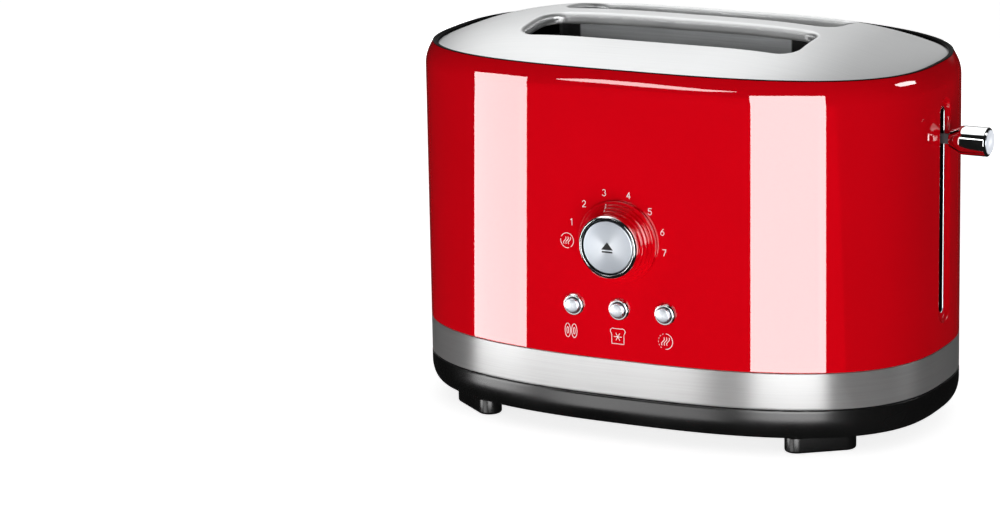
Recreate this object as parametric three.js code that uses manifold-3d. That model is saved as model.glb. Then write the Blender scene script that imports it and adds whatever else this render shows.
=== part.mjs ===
// Two-slot toaster with a sliding lever, a browning dial and three push buttons.
// Millimetres. +X runs to the lever end, +Y to the back, +Z up; feet stand on z = 0.
import * as THREE from "three";
import { mergeVertices } from "three/addons/utils/BufferGeometryUtils.js";
import Module from "manifold-3d";

const wasm = await Module();
wasm.setup();

// Body outline and heights, and the room between its inner parts and its ends and sides
const endRoom = 13.9;
const sideRoom = 32.7;
const outlinePower = 2.62;
const outlineSteps = 48;
const footHeight = 8.7;
const baseHeight = 16;
const bandHeight = 19.7;
const shellHeight = 152.1;
const rimDrop = 1.9;

// Clearances: stacked or seated pieces, running fits, and how far a cutter runs past its piece
const seam = 0.3;
const runningGap = 0.4;
const overrun = 3;

// Sheet and wall thicknesses
const shellWall = 1.2;
const bandWall = 1.2;
const plateWall = 1;
const baseWall = 2.2;
const baseFloor = 2.5;
const chassisSheet = 1;

// Shoulder of the shell and the trim ring that hooks over its rim
const shoulderHeight = 12;
const shoulderInset = 5;
const shoulderSteps = 4;
const innerSteps = 2;
const ringInset = 4.9;
const ringWidth = 2.4;
const ringProud = 1;
const ringBevel = 0.4;
const ringLedge = 3;
const ringLedgeThickness = 1.5;
const ringStem = 6.5;

// Domed top plate
const plateRecess = 2.6;
const plateCrown = 15;
const crownPower = 2;
const plateRingShares = [1, 0.9, 0.75, 0.55, 0.3, 0.06];
const underRingShares = [0.06, 0.6, 1];

// Bread slots, with their rolled lips and flanges
const slotLength = 156;
const slotWidth = 38;
const slotSpacing = 54;
const slotCorner = 10;
const slotCornerSteps = 5;
const slotSideSteps = 6;
const cornerSteps = 4;
const barSides = 24;
const flangeDepth = 6;
const lipRadius = 3;
const lipSteps = 2;

// Tuck under the base, and the upright wall that the band and the shell slip over
const tuckInset = 6;
const tuckHeight = 11;
const tuckSteps = 3;
const shellLap = 5;

// Rubber feet, turned to follow the corners
const footLength = 38;
const footWidth = 13;
const footBevel = 1.2;
const footInsetX = 45;
const footInsetY = 31.5;
const footTurn = THREE.MathUtils.degToRad(25);
const footSteps = 4;

// Crumb tray and its pull
const trayWidth = 160;
const trayFrontInset = 28;
const trayBackInset = 16;
const trayHeight = 8;
const traySheet = 0.8;
const runnerHeight = 5;
const runnerWidth = 2;

// Cord gland in a flat pocket at the back of the base
const glandInset = 40;
const glandRise = 7.7;
const glandBoreRadius = 3.2;
const glandBodyRadius = 4.2;
const glandFlangeRadius = 5.6;
const glandFlange = 2;
const glandSides = 12;
const pocketWidth = 16;
const pocketDepth = 6.8;

// Lever slot in the shell end, pressed into a shallow channel
const leverSlotWidth = 4;
const leverSlotSpare = 1.5;
const channelWidth = 14.5;
const channelDepth = 3.2;
const channelMargin = 5;

// Lever, lifters and the carriage that joins them
const leverBelowRim = 40.6;
const leverKnobRadius = 7.6;
const leverKnobLength = 21.9;
const leverKnobChamfer = 1;
const gripRoundShare = 0.45;
const leverKnobSides = 20;
const leverKnobStandOff = 2.5;
const leverArmThickness = 2.4;
const leverArmHeight = 5;
const tongueHeight = 3.4;
const tongueLength = 10;
const carriageLift = 12;
const lifterDrop = 4.5;
const lifterSheet = 1.4;
const lifterWebHeight = 9;
const lifterSideGap = 7;
const lifterFingers = 7;
const fingerWidth = 3;
const bracketSheet = 1.5;
const bracketMargin = 7;
const bracketBelow = 13.5;
const bracketAbove = 10;
const sleeveWall = 2.2;
const sleeveLength = 23;
const rodRadius = 3;
const rodSides = 12;
const rodOffsetX = 17;
const rodOffsetY = 14;
const springWire = 1.2;
const springTurns = 9;
const springSteps = 8;
const springSides = 5;
const armatureLength = 20;
const armatureWidth = 16;
const armatureThickness = 2;
const armatureOffset = 20;

// Inner frame of sheet metal
const chassisMargin = 14;
const chassisSideGap = 10;
const chassisRise = 18;
const chassisBelowRim = 8.8;
const chassisFlange = 8;
const postRadius = 4;
const postSpacing = 80;
const postSides = 6;
const collarLap = 1.2;
const lifterSlotGap = 0.8;
const shieldVentWidth = 4;
const shieldVentHeight = 34;
const shieldVents = 5;
const topTabWidth = 44;
const topTabReach = 25;

// Heater cards, wound with flat ribbon
const heaterSheet = 0.8;
const heaterRise = 28;
const heaterHeadroom = 11;
const heaterRibbon = 2;
const ribbonThickness = 0.4;
const ribbonTurns = 4;
const heaterTab = 9;
const heaterSideGap = 4;

// Wire guards that centre the bread
const guardWire = 1;
const guardHeadroom = 4;
const guardEar = 8;
const guardWires = 8;
const guardEndGap = 4;
const guardSides = 4;
const guardSideGap = 2.75;

// Latch magnet
const coreLegWidth = 4;
const coreHeight = 24.4;
const coreBaseHeight = 4;
const coilWall = 3.4;
const coilHeadroom = 3;

// Browning dial with its eject button
const dialRise = 63.5;
const dialFaceReach = 13.6;
const dialRimRadius = 16.5;
const dialWaistRadius = 15.5;
const dialSkirtRadius = 21.8;
const dialSkirtGap = 0.6;
const dialSkirtEdge = 0.8;
const dialRecessRadius = 14.2;
const dialRecessDepth = 6.6;
const dialRimRound = 0.9;
const dialHubRadius = 8;
const dialHubDepth = 4;
const dialBoreRadius = 3.8;
const dialSteps = 28;
const flareRadiusShares = [1, 0.55, 0.22, 0];
const flareReachShares = [0, 0.14, 0.42, 0.85];
const pointerWidth = 1;
const pointerReach = 1.6;
const pointerAngle = THREE.MathUtils.degToRad(104);
const shaftRadius = 3.5;
const shaftBoreRadius = 2.2;
const ejectTravel = 2.5;
const ejectThickness = 1.5;
const ejectCrown = 0.5;
const ejectSink = 0.6;
const ejectStemRadius = 1.8;
const bushWall = 0.7;
const bushFlange = 3;
const bushFlangeThickness = 1.2;

// Push buttons in their chrome bezels
const buttonRise = 27.5;
const buttonPitch = 26;
const buttonRadius = 4;
const buttonReach = 4;
const buttonCrown = 0.6;
const buttonTravel = 2;
const buttonSteps = 12;
const buttonStemRadius = 2;
const bezelBarrelWall = 0.9;
const bezelReach = 3.2;
const bezelFlangeWidth = 0.95;
const bezelFlangeThickness = 0.8;
const bezelTail = 3.4;
const retainerWidth = 0.9;
const retainerThickness = 1;

// Control board behind the front
const boardThickness = 1.6;
const boardSetBack = 15.8;
const boardMargin = 19.7;
const boardBelow = 12.5;
const boardAbove = 14.5;
const frameRail = 8;
const frameSide = 4.3;
const frameDepth = 6;
const frameGrip = 3.7;
const potSize = 18;
const potDepth = 7;
const switchSize = 6;
const switchDepth = 3.5;
const plungerRadius = 1.7;
const plungerReach = 1;

// Power board in the end away from the lever
const powerOffset = 18;
const powerWidth = 71.4;
const powerRise = 19.5;
const powerHeight = 86;
const powerPostHeight = 46;
const powerPostSize = 5.6;
const relayDepth = 15;
const relayWidth = 16;
const relayHeight = 20;
const transformerDepth = 18;
const transformerWidth = 22;
const transformerHeight = 24;
const capacitorRadius = 5;
const capacitorLength = 16;
const terminalDepth = 10;
const terminalWidth = 18;
const terminalHeight = 11;
const partSpacing = 8;

// Vents in the base floor
const ventWidth = 3;
const ventPitch = 6;
const ventLength = 20;
const ventCount = 3;

// Places that follow from the sizes above
const slotCentre = slotSpacing / 2;
const chassisHalfLength = slotLength / 2 + chassisMargin;
const chassisHalfDepth = slotCentre + slotWidth / 2 + chassisSideGap;
const powerReach = chassisHalfLength + chassisSheet + powerOffset;
const halfLength = powerReach + boardThickness / 2 + seam + transformerDepth + endRoom;
const halfDepth = chassisHalfDepth + seam + chassisSheet + sideRoom;
const baseBottom = footHeight;
const floorTop = baseBottom + baseFloor;
const bandBottom = baseBottom + baseHeight;
const shellBottom = bandBottom + bandHeight;
const rimTop = shellBottom + shellHeight;
const ringTop = rimTop + ringProud;
const plateEdgeTop = ringTop - plateRecess;
const plateInset = ringInset + ringWidth + seam;
const bracketX = chassisHalfLength + chassisSheet + overrun * 2;
const rodX = chassisHalfLength + chassisSheet + rodOffsetX;
const frontFace = -halfDepth;
const dialHeight = shellBottom + dialRise;
const buttonHeight = shellBottom + buttonRise;
const boardFront = frontFace + boardSetBack;
const boardBack = boardFront + boardThickness;
const frontWallBack = frontFace + shellWall;
const chassisBottom = baseBottom + chassisRise;
const chassisTop = rimTop - chassisBelowRim;
const heaterBottom = chassisBottom + heaterRise;
const heaterTop = chassisTop - heaterHeadroom;
const guardPivotHeight = heaterBottom;
const guardTop = chassisTop - guardHeadroom;
const guardRail = guardTop - guardEar;
const guardSpan = slotLength - 2 * guardEndGap;
const guardOffset = slotWidth / 2 - guardSideGap;
const leverHeight = rimTop - leverBelowRim;
const lifterTop = leverHeight - lifterDrop;
const lifterWidth = slotWidth - 2 * lifterSideGap;
const bracketWidth = slotSpacing + 2 * bracketMargin;
const armatureBottom = leverHeight - bracketBelow - seam - armatureThickness;
const coreTop = chassisBottom + coreHeight;
const carriageDrop = armatureBottom - seam - coreTop;
const leverSlotReach = leverArmHeight / 2 + leverSlotSpare;
const leverSlotBottom = leverHeight - carriageDrop - leverSlotReach;
const leverSlotTop = leverHeight + carriageLift + leverSlotReach;
const trayFront = halfDepth - trayFrontInset;
const trayBack = halfDepth - trayBackInset;
const powerBottom = floorTop + powerRise;
const powerTop = powerBottom + powerHeight;

// Colours and finishes
const finish = {
  red: new THREE.MeshStandardMaterial({ color: 0xc8000f, roughness: 0.12, metalness: 0.1 }),
  brushed: new THREE.MeshStandardMaterial({ color: 0xc9c9c7, roughness: 0.35, metalness: 1 }),
  chrome: new THREE.MeshStandardMaterial({ color: 0xe4e5e6, roughness: 0.07, metalness: 1 }),
  black: new THREE.MeshStandardMaterial({ color: 0x151515, roughness: 0.35, metalness: 0 }),
  rubber: new THREE.MeshStandardMaterial({ color: 0x101010, roughness: 0.8, metalness: 0 }),
  sheet: new THREE.MeshStandardMaterial({ color: 0xa9abad, roughness: 0.4, metalness: 1 }),
  wire: new THREE.MeshStandardMaterial({ color: 0xb5b6b8, roughness: 0.25, metalness: 1 }),
  mica: new THREE.MeshStandardMaterial({ color: 0xb9a27c, roughness: 0.7, metalness: 0 }),
  board: new THREE.MeshStandardMaterial({ color: 0x2f6a3c, roughness: 0.5, metalness: 0 }),
  moulding: new THREE.MeshStandardMaterial({ color: 0x2a2b2d, roughness: 0.6, metalness: 0 }),
  copper: new THREE.MeshStandardMaterial({ color: 0xa5562a, roughness: 0.4, metalness: 1 }),
};

// Closed geometry to solid, turned right side out, and back again
function solid(geometry) {
  const plain = geometry.clone();
  plain.deleteAttribute("normal");
  plain.deleteAttribute("uv");
  const merged = mergeVertices(plain);
  const vertProperties = new Float32Array(merged.attributes.position.array);
  const triVerts = new Uint32Array(merged.index.array);
  const made = new wasm.Manifold(new wasm.Mesh({ numProp: 3, vertProperties, triVerts }));
  if (made.volume() > 0) return made;
  for (let i = 0; i < triVerts.length; i += 3) {
    const swap = triVerts[i];
    triVerts[i] = triVerts[i + 1];
    triVerts[i + 1] = swap;
  }
  return new wasm.Manifold(new wasm.Mesh({ numProp: 3, vertProperties, triVerts }));
}

function surfaceOf(body) {
  const mesh = body.getMesh();
  const geometry = new THREE.BufferGeometry();
  geometry.setAttribute("position", new THREE.Float32BufferAttribute(mesh.vertProperties, 3));
  geometry.setIndex(new THREE.Uint32BufferAttribute(mesh.triVerts, 1));
  geometry.computeVertexNormals();
  return geometry;
}

function join(...bodies) {
  return bodies.reduce((sum, body) => sum.add(body));
}

function cut(body, ...cutters) {
  return cutters.reduce((rest, cutter) => rest.subtract(cutter), body);
}

// A block between two corners
function block(low, high) {
  const size = high.map((value, i) => value - low[i]);
  const middle = high.map((value, i) => (value + low[i]) / 2);
  return solid(new THREE.BoxGeometry(...size).translate(...middle));
}

// Round bars along each axis, from one place to another
function barZ(radius, x, y, from, to, sides = barSides) {
  const bar = new THREE.CylinderGeometry(radius, radius, to - from, sides);
  return solid(bar.rotateX(Math.PI / 2).translate(x, y, (from + to) / 2));
}

function barY(radius, x, z, from, to, sides = barSides) {
  const bar = new THREE.CylinderGeometry(radius, radius, to - from, sides);
  return solid(bar.translate(x, (from + to) / 2, z));
}

function barX(radius, y, z, from, to, sides = barSides) {
  const bar = new THREE.CylinderGeometry(radius, radius, to - from, sides);
  return solid(bar.rotateZ(Math.PI / 2).translate((from + to) / 2, y, z));
}

// A flat outline pushed along an axis: outline u, v are y, z along X, or x, y along Z
function pushed(shape, depth) {
  return new THREE.ExtrudeGeometry(shape, { depth, bevelEnabled: false, curveSegments: cornerSteps });
}

function sheetX(shape, from, to) {
  const turn = new THREE.Matrix4().makeBasis(
    new THREE.Vector3(0, 1, 0), new THREE.Vector3(0, 0, 1), new THREE.Vector3(1, 0, 0));
  return solid(pushed(shape, to - from).applyMatrix4(turn).translate(from, 0, 0));
}

function sheetZ(shape, from, to) {
  return solid(pushed(shape, to - from).translate(0, 0, from));
}

// Two places on one side of the middle, the lower one first
function between(side, near, far) {
  return side > 0 ? [near, far] : [-far, -near];
}

// A rectangle with round corners, from its limits
function roundedShape(u0, u1, v0, v1, radius) {
  const shape = new THREE.Shape();
  shape.absarc(u1 - radius, v0 + radius, radius, -Math.PI / 2, 0, false);
  shape.absarc(u1 - radius, v1 - radius, radius, 0, Math.PI / 2, false);
  shape.absarc(u0 + radius, v1 - radius, radius, Math.PI / 2, Math.PI, false);
  shape.absarc(u0 + radius, v0 + radius, radius, Math.PI, Math.PI * 3 / 2, false);
  return shape;
}

// A body turned about an axis along Y through x, z: points are [radius, y]
function turnedY(points, x, z, steps) {
  const profile = points.map(([radius, y]) => new THREE.Vector2(radius, y));
  return solid(new THREE.LatheGeometry(profile, steps).translate(x, 0, z));
}

// Rings of equal count joined into a closed body; an open stack is capped at both ends
function loft(rings, capped) {
  const count = rings[0].length;
  const points = rings.flat();
  const faces = [];
  const bands = capped ? rings.length - 1 : rings.length;
  for (let k = 0; k < bands; k++) {
    const lower = k * count;
    const upper = ((k + 1) % rings.length) * count;
    for (let i = 0; i < count; i++) {
      const j = (i + 1) % count;
      faces.push(lower + i, lower + j, upper + j, lower + i, upper + j, upper + i);
    }
  }
  if (capped) {
    const last = (rings.length - 1) * count;
    const first = points.length;
    points.push(middleOf(rings[0]), middleOf(rings[rings.length - 1]));
    for (let i = 0; i < count; i++) {
      const j = (i + 1) % count;
      faces.push(first, j, i, first + 1, last + i, last + j);
    }
  }
  const geometry = new THREE.BufferGeometry().setFromPoints(points);
  geometry.setIndex(faces);
  return solid(geometry);
}

function middleOf(ring) {
  const sum = ring.reduce((total, point) => total.add(point), new THREE.Vector3());
  return sum.divideScalar(ring.length);
}

// The body outline is a superellipse; its inset copies are moved in along the normal
function outlinePoint(angle, inset) {
  const c = Math.cos(angle);
  const s = Math.sin(angle);
  const x = halfLength * Math.sign(c) * Math.abs(c) ** (2 / outlinePower);
  const y = halfDepth * Math.sign(s) * Math.abs(s) ** (2 / outlinePower);
  const normal = new THREE.Vector2(
    Math.sign(x) * Math.abs(x / halfLength) ** (outlinePower - 1) / halfLength,
    Math.sign(y) * Math.abs(y / halfDepth) ** (outlinePower - 1) / halfDepth).normalize();
  return new THREE.Vector2(x, y).addScaledVector(normal, -inset);
}

function outlineRing(inset, heightAt) {
  const ring = [];
  for (let i = 0; i < outlineSteps; i++) {
    const point = outlinePoint((i * 2 * Math.PI) / outlineSteps, inset);
    ring.push(new THREE.Vector3(point.x, point.y, heightAt(point.x)));
  }
  return ring;
}

const flat = (height) => () => height;

// The rim falls a little towards both ends
const arched = (height) => (x) => height - rimDrop * (x / halfLength) ** 2;

// Distance of the outline from the middle plane, at a place along the length
function outlineReach(x) {
  return halfDepth * (1 - Math.abs(x / halfLength) ** outlinePower) ** (1 / outlinePower);
}

// Height of the domed plate's upper face: a crown that falls with a power of the way to its edge.
// The power is crownPower across the slots and twice that along them, so the slots' sides run level.
function domeHeight(x, y) {
  const along = Math.abs(x / (halfLength - plateInset)) ** outlinePower;
  const across = Math.abs(y / (halfDepth - plateInset)) ** outlinePower;
  const sum = along + across;
  const way = Math.min(1, sum ** (1 / outlinePower));
  const lengthShare = sum > 0 ? along / sum : 0;
  return arched(plateEdgeTop)(x) + plateCrown * (1 - way ** (crownPower * (1 + lengthShare)));
}

// Outline of a bread slot, grown by a margin, with points along its long sides to follow the dome
function slotRing(side, margin, heightAt) {
  const radius = slotCorner + margin;
  const reachX = slotLength / 2 + margin - radius;
  const reachY = slotWidth / 2 + margin - radius;
  const ring = [];
  const put = (x, across) => {
    const y = side * slotCentre + across;
    ring.push(new THREE.Vector3(x, y, heightAt(x, y)));
  };
  for (let corner = 0; corner < 4; corner++) {
    const signX = corner === 0 || corner === 3 ? 1 : -1;
    const signY = corner < 2 ? 1 : -1;
    for (let step = 0; step <= slotCornerSteps; step++) {
      const angle = ((corner + step / slotCornerSteps) * Math.PI) / 2;
      put(signX * reachX + radius * Math.cos(angle), signY * reachY + radius * Math.sin(angle));
    }
    if (corner % 2 === 1) continue;
    for (let k = 1; k < slotSideSteps; k++) {
      put(signX * reachX * (1 - (2 * k) / slotSideSteps), signY * (reachY + radius));
    }
  }
  return ring;
}

// Outer shell: upright wall, soft shoulder and flat lip, drawn outside up and inside down
function outerShell() {
  const rings = [outlineRing(0, flat(shellBottom + seam))];
  for (let k = 0; k <= shoulderSteps; k++) {
    const angle = (k / shoulderSteps) * Math.PI / 2;
    const inset = shoulderInset * (1 - Math.cos(angle));
    rings.push(outlineRing(inset, arched(rimTop - shoulderHeight * (1 - Math.sin(angle)))));
  }
  rings.push(outlineRing(shoulderInset + shellWall, arched(rimTop)));
  for (let k = innerSteps; k >= 0; k -= 1) {
    const angle = (k / innerSteps) * Math.PI / 2;
    const inset = shellWall + shoulderInset * (1 - Math.cos(angle));
    rings.push(outlineRing(inset, arched(rimTop - shellWall - shoulderHeight * (1 - Math.sin(angle)))));
  }
  rings.push(outlineRing(shellWall, flat(shellBottom + seam)));
  const wall = loft(rings, false);

  const low = leverSlotBottom - channelMargin;
  const high = leverSlotTop + channelMargin;
  const half = channelWidth / 2;
  const floor = halfLength - channelDepth;
  const panHalf = half + shellWall;
  const pan = roundedShape(-panHalf, panHalf, low - shellWall, high + shellWall, panHalf);
  const hollow = roundedShape(-half, half, low, high, half);
  const gap = leverSlotWidth / 2;
  const slot = roundedShape(-gap, gap, leverSlotBottom, leverSlotTop, gap);
  const pressed = join(wall, sheetX(pan, floor - shellWall, halfLength - shellWall / 2));
  const cutters = [
    sheetX(hollow, floor, halfLength + overrun),
    sheetX(slot, floor - shellWall - overrun, floor + overrun),
    barY(dialHubRadius + bushWall + 2 * seam, 0, dialHeight, frontFace - overrun, frontWallBack + overrun),
  ];
  for (const place of buttonPlaces()) {
    const radius = buttonRadius + bezelBarrelWall + runningGap;
    cutters.push(barY(radius, place, buttonHeight, frontFace - overrun, frontWallBack + overrun));
  }
  return cut(pressed, ...cutters);
}

function buttonPlaces() {
  return [-buttonPitch, 0, buttonPitch];
}

// Trim ring: a flange over the shell's rim, a stem down inside it and a ledge for the plate
function trimRing() {
  const inner = ringInset + ringWidth;
  const ledgeTop = plateEdgeTop - plateWall - seam;
  const ledgeBottom = ledgeTop - ringLedgeThickness;
  return loft([
    outlineRing(ringInset, arched(rimTop + seam)),
    outlineRing(ringInset, arched(ringTop - ringBevel)),
    outlineRing(ringInset + ringBevel, arched(ringTop)),
    outlineRing(inner, arched(ringTop)),
    outlineRing(inner, arched(ledgeTop)),
    outlineRing(inner + ringLedge, arched(ledgeTop)),
    outlineRing(inner + ringLedge, arched(ledgeBottom)),
    outlineRing(ringStem, arched(ledgeBottom)),
    outlineRing(ringStem, arched(rimTop + seam)),
  ], false);
}

// Top plate: a dome with two openings, each with a rolled lip and a flange that turns down
function topPlate() {
  const edge = outlineRing(plateInset, arched(plateEdgeTop));
  const domeRing = (share, drop) => edge.map((point) => {
    const x = point.x * share;
    const y = point.y * share;
    return new THREE.Vector3(x, y, (share === 1 ? point.z : domeHeight(x, y)) - drop);
  });
  let plate = loft([
    ...underRingShares.map((share) => domeRing(share, plateWall)),
    ...plateRingShares.map((share) => domeRing(share, 0)),
  ], true);
  for (const side of [-1, 1]) {
    const under = (x, y) => domeHeight(x, y) - plateWall / 2;
    const foot = (x, y) => domeHeight(x, y) - flangeDepth;
    const slope = (x, y) => domeHeight(x, y) - plateWall - lipRadius;
    plate = join(plate, loft([
      slotRing(side, plateWall, foot),
      slotRing(side, plateWall, slope),
      slotRing(side, lipRadius, under),
      slotRing(side, -plateWall, under),
      slotRing(side, -plateWall, foot),
    ], false));
    const rings = [slotRing(side, 0, flat(rimTop - overrun))];
    for (let k = 0; k <= lipSteps; k++) {
      const angle = (k / lipSteps) * Math.PI / 2;
      const drop = lipRadius * (1 - Math.sin(angle));
      const margin = lipRadius * (1 - Math.cos(angle));
      rings.push(slotRing(side, margin, (x, y) => domeHeight(x, y) - drop));
    }
    rings.push(slotRing(side, lipRadius, flat(ringTop + plateCrown + overrun)));
    plate = cut(plate, loft(rings, true));
  }
  return plate;
}

// Steel band round the foot of the shell
function steelBand() {
  return loft([
    outlineRing(0, flat(bandBottom + seam)),
    outlineRing(0, flat(shellBottom)),
    outlineRing(bandWall, flat(shellBottom)),
    outlineRing(bandWall, flat(bandBottom + seam)),
  ], false);
}

// Outside of the base: a tucked-in skirt, as rings from the bottom up
function baseSkirt(inset) {
  const rings = [];
  for (let k = 0; k <= tuckSteps; k++) {
    const angle = (k / tuckSteps) * Math.PI / 2;
    const height = baseBottom + tuckHeight * (1 - Math.cos(angle));
    rings.push(outlineRing(inset + tuckInset * (1 - Math.sin(angle)), flat(height)));
  }
  return rings;
}

// Places of the tray and of the posts that carry the frame
const trayBottom = floorTop + seam;
const trayTop = trayBottom + trayHeight;
const trayHalf = trayWidth / 2;
const postX = chassisHalfLength + chassisSheet + postRadius;
const postTop = chassisBottom - seam;
const powerX = -powerReach;
const coreX = rodX - rodOffsetX + armatureOffset;
const glandX = glandInset - halfLength;
const glandZ = baseBottom + glandRise;
const pocketFace = outlineReach(glandX) - pocketDepth;

// Base moulding: skirt, upright wall, floor, runners, posts, tray opening, vents and cord pocket
function baseHousing() {
  const lap = bandWall + seam;
  const inner = lap + baseWall;
  const top = shellBottom + shellLap;
  let base = loft([
    ...baseSkirt(0),
    outlineRing(0, flat(bandBottom)),
    outlineRing(lap, flat(bandBottom)),
    outlineRing(lap, flat(top)),
    outlineRing(inner, flat(top)),
    outlineRing(inner, flat(baseBottom + tuckHeight)),
    outlineRing(inner + tuckInset, flat(floorTop)),
  ], true);
  const railInside = trayHalf + seam;
  for (const side of [-1, 1]) {
    const rail = between(side, railInside, railInside + runnerWidth);
    base = join(base, block(
      [rail[0], -trayFront, floorTop - baseFloor / 2], [rail[1], trayBack, floorTop + runnerHeight]));
    for (const end of [-1, 1]) {
      const y = side * postSpacing / 2;
      base = join(base, barZ(postRadius, end * postX, y, floorTop - baseFloor / 2, postTop, postSides));
    }
    const gripInside = powerWidth / 2 - powerPostSize / 2;
    const grip = between(side, gripInside, gripInside + powerPostSize);
    base = join(base, block(
      [powerX - powerPostSize / 2, grip[0], floorTop - baseFloor / 2],
      [powerX + powerPostSize / 2, grip[1], floorTop + powerPostHeight]));
  }
  base = join(base,
    barZ(rodRadius + sleeveWall, rodX, rodOffsetY, floorTop - baseFloor / 2, postTop, postSides),
    block([coreX, -armatureWidth / 2, floorTop - baseFloor / 2],
      [coreX + armatureLength, armatureWidth / 2, postTop]));

  const pocketHalf = pocketWidth / 2;
  const backWall = pocketFace - baseWall;
  base = join(base, block(
    [glandX - pocketHalf - baseWall, backWall, floorTop - baseFloor / 2],
    [glandX + pocketHalf + baseWall, pocketFace, bandBottom]));
  const pocket = block(
    [glandX - pocketHalf, pocketFace, baseBottom - overrun],
    [glandX + pocketHalf, halfDepth + overrun, bandBottom - baseWall]);
  const powerHalf = boardThickness / 2 + seam;
  const cutters = [
    pocket,
    barY(glandBodyRadius + seam, glandX, glandZ, backWall - pocketWidth, pocketFace + overrun, glandSides),
    block(
      [-trayHalf - seam, trayBack - overrun, floorTop],
      [trayHalf + seam, halfDepth + overrun, trayTop + seam]),
    block([powerX - powerHalf, -powerWidth / 2 - seam, powerBottom - seam],
      [powerX + powerHalf, powerWidth / 2 + seam, floorTop + powerPostHeight + overrun]),
  ];
  for (let k = 0; k < ventCount; k++) {
    const right = coreX + k * ventPitch;
    const left = powerX - powerPostSize - ventPitch - k * ventPitch;
    for (const side of [-1, 1]) {
      const start = armatureWidth / 2 + ventPitch;
      const span = between(side, start, start + ventLength);
      cutters.push(block(
        [right, span[0], baseBottom - overrun], [right + ventWidth, span[1], floorTop + overrun]));
    }
    cutters.push(block(
      [left, -ventLength, baseBottom - overrun], [left + ventWidth, ventLength, floorTop + overrun]));
  }
  return cut(base, ...cutters);
}

// Rubber foot: a bar with round ends and a bevelled sole
function rubberFoot(sideX, sideY) {
  const ring = (shrink, height) => {
    const radius = footWidth / 2 - shrink;
    const reach = (footLength - footWidth) / 2;
    const points = [];
    for (const end of [1, -1]) {
      for (let step = 0; step <= footSteps; step++) {
        const angle = (step / footSteps - 1 / 2) * Math.PI + (end < 0 ? Math.PI : 0);
        const x = end * reach + radius * Math.cos(angle);
        points.push(new THREE.Vector3(x, radius * Math.sin(angle), height));
      }
    }
    const turn = -sideX * sideY * footTurn;
    const place = new THREE.Vector3(sideX * (halfLength - footInsetX), sideY * (halfDepth - footInsetY), 0);
    return points.map((point) => point.applyAxisAngle(new THREE.Vector3(0, 0, 1), turn).add(place));
  };
  return loft([ring(footBevel, 0), ring(0, footBevel), ring(0, baseBottom - seam)], true);
}

// Crumb tray: an open pan
function crumbTray() {
  const pan = block([-trayHalf, -trayFront, trayBottom], [trayHalf, trayBack, trayTop]);
  const hollow = block(
    [-trayHalf + traySheet, -trayFront + traySheet, trayBottom + traySheet],
    [trayHalf - traySheet, trayBack - traySheet, trayTop + overrun]);
  return cut(pan, hollow);
}

// Tray pull: the piece of the base skirt that the tray carries out, with a finger groove
function trayPull() {
  const skirt = loft([...baseSkirt(0), outlineRing(0, flat(bandBottom))], true);
  const slab = block([-trayHalf, trayBack + seam, floorTop + seam], [trayHalf, halfDepth, trayTop]);
  const grooveReach = halfDepth - tuckInset;
  const groove = block(
    [-trayHalf / 2, trayBack + seam + traySheet * 2, floorTop - overrun],
    [trayHalf / 2, grooveReach, floorTop + trayHeight / 2]);
  return cut(slab.intersect(skirt), groove);
}

// Cord gland: a flanged bush with an open bore
function cordGland() {
  const face = pocketFace + seam;
  const tail = pocketFace - baseWall - overrun;
  const body = join(
    barY(glandFlangeRadius, glandX, glandZ, face, face + glandFlange, glandSides),
    barY(glandBodyRadius, glandX, glandZ, tail, face + glandFlange / 2, glandSides));
  return cut(body, barY(glandBoreRadius, glandX, glandZ, tail - overrun, face + overrun, glandSides));
}

// Heights swept by the lifters' webs
const webLow = lifterTop - carriageDrop - lifterWebHeight - lifterSlotGap;
const webHigh = lifterTop + carriageLift + lifterSlotGap;
const guardPlaces = [-1, 1].flatMap((side) => [-1, 1].map((face) => side * slotCentre + face * guardOffset));
const heaterPlaces = [-1, 0, 1].map((side) => side * (slotCentre + slotWidth / 2 + heaterSideGap));

// End sheet of the frame: lifter slots, guard pivot holes and slots for the heater cards' tabs
function chassisPlate(end) {
  const shape = new THREE.Shape();
  shape.moveTo(-chassisHalfDepth, chassisBottom);
  shape.lineTo(chassisHalfDepth, chassisBottom);
  shape.lineTo(chassisHalfDepth, chassisTop);
  shape.lineTo(-chassisHalfDepth, chassisTop);
  shape.closePath();
  const back = chassisHalfLength + chassisSheet;
  const [from, to] = between(end, chassisHalfLength, back);
  const reach = between(end, back - chassisSheet / 2, back + chassisFlange);
  const flange = block(
    [reach[0], -chassisHalfDepth, chassisBottom],
    [reach[1], chassisHalfDepth, chassisBottom + chassisSheet]);
  const cutters = [];
  const slotHalf = lifterSheet / 2 + lifterSlotGap;
  for (const side of [-1, 1]) {
    const y = side * slotCentre;
    cutters.push(block([from - overrun, y - slotHalf, webLow], [to + overrun, y + slotHalf, webHigh]));
  }
  for (const y of guardPlaces) {
    const radius = guardWire + runningGap;
    cutters.push(barX(radius, y, guardPivotHeight, from - overrun, to + overrun, 2 * guardSides));
  }
  for (const y of heaterPlaces) {
    for (const z of heaterTabHeights()) {
      const half = heaterSheet / 2 + seam;
      cutters.push(block(
        [from - overrun, y - half, z - seam], [to + overrun, y + half, z + heaterTab + seam]));
    }
  }
  return cut(join(sheetX(shape, from, to), flange), ...cutters);
}

function heaterTabHeights() {
  return [heaterBottom + heaterTab, heaterTop - 2 * heaterTab];
}

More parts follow.
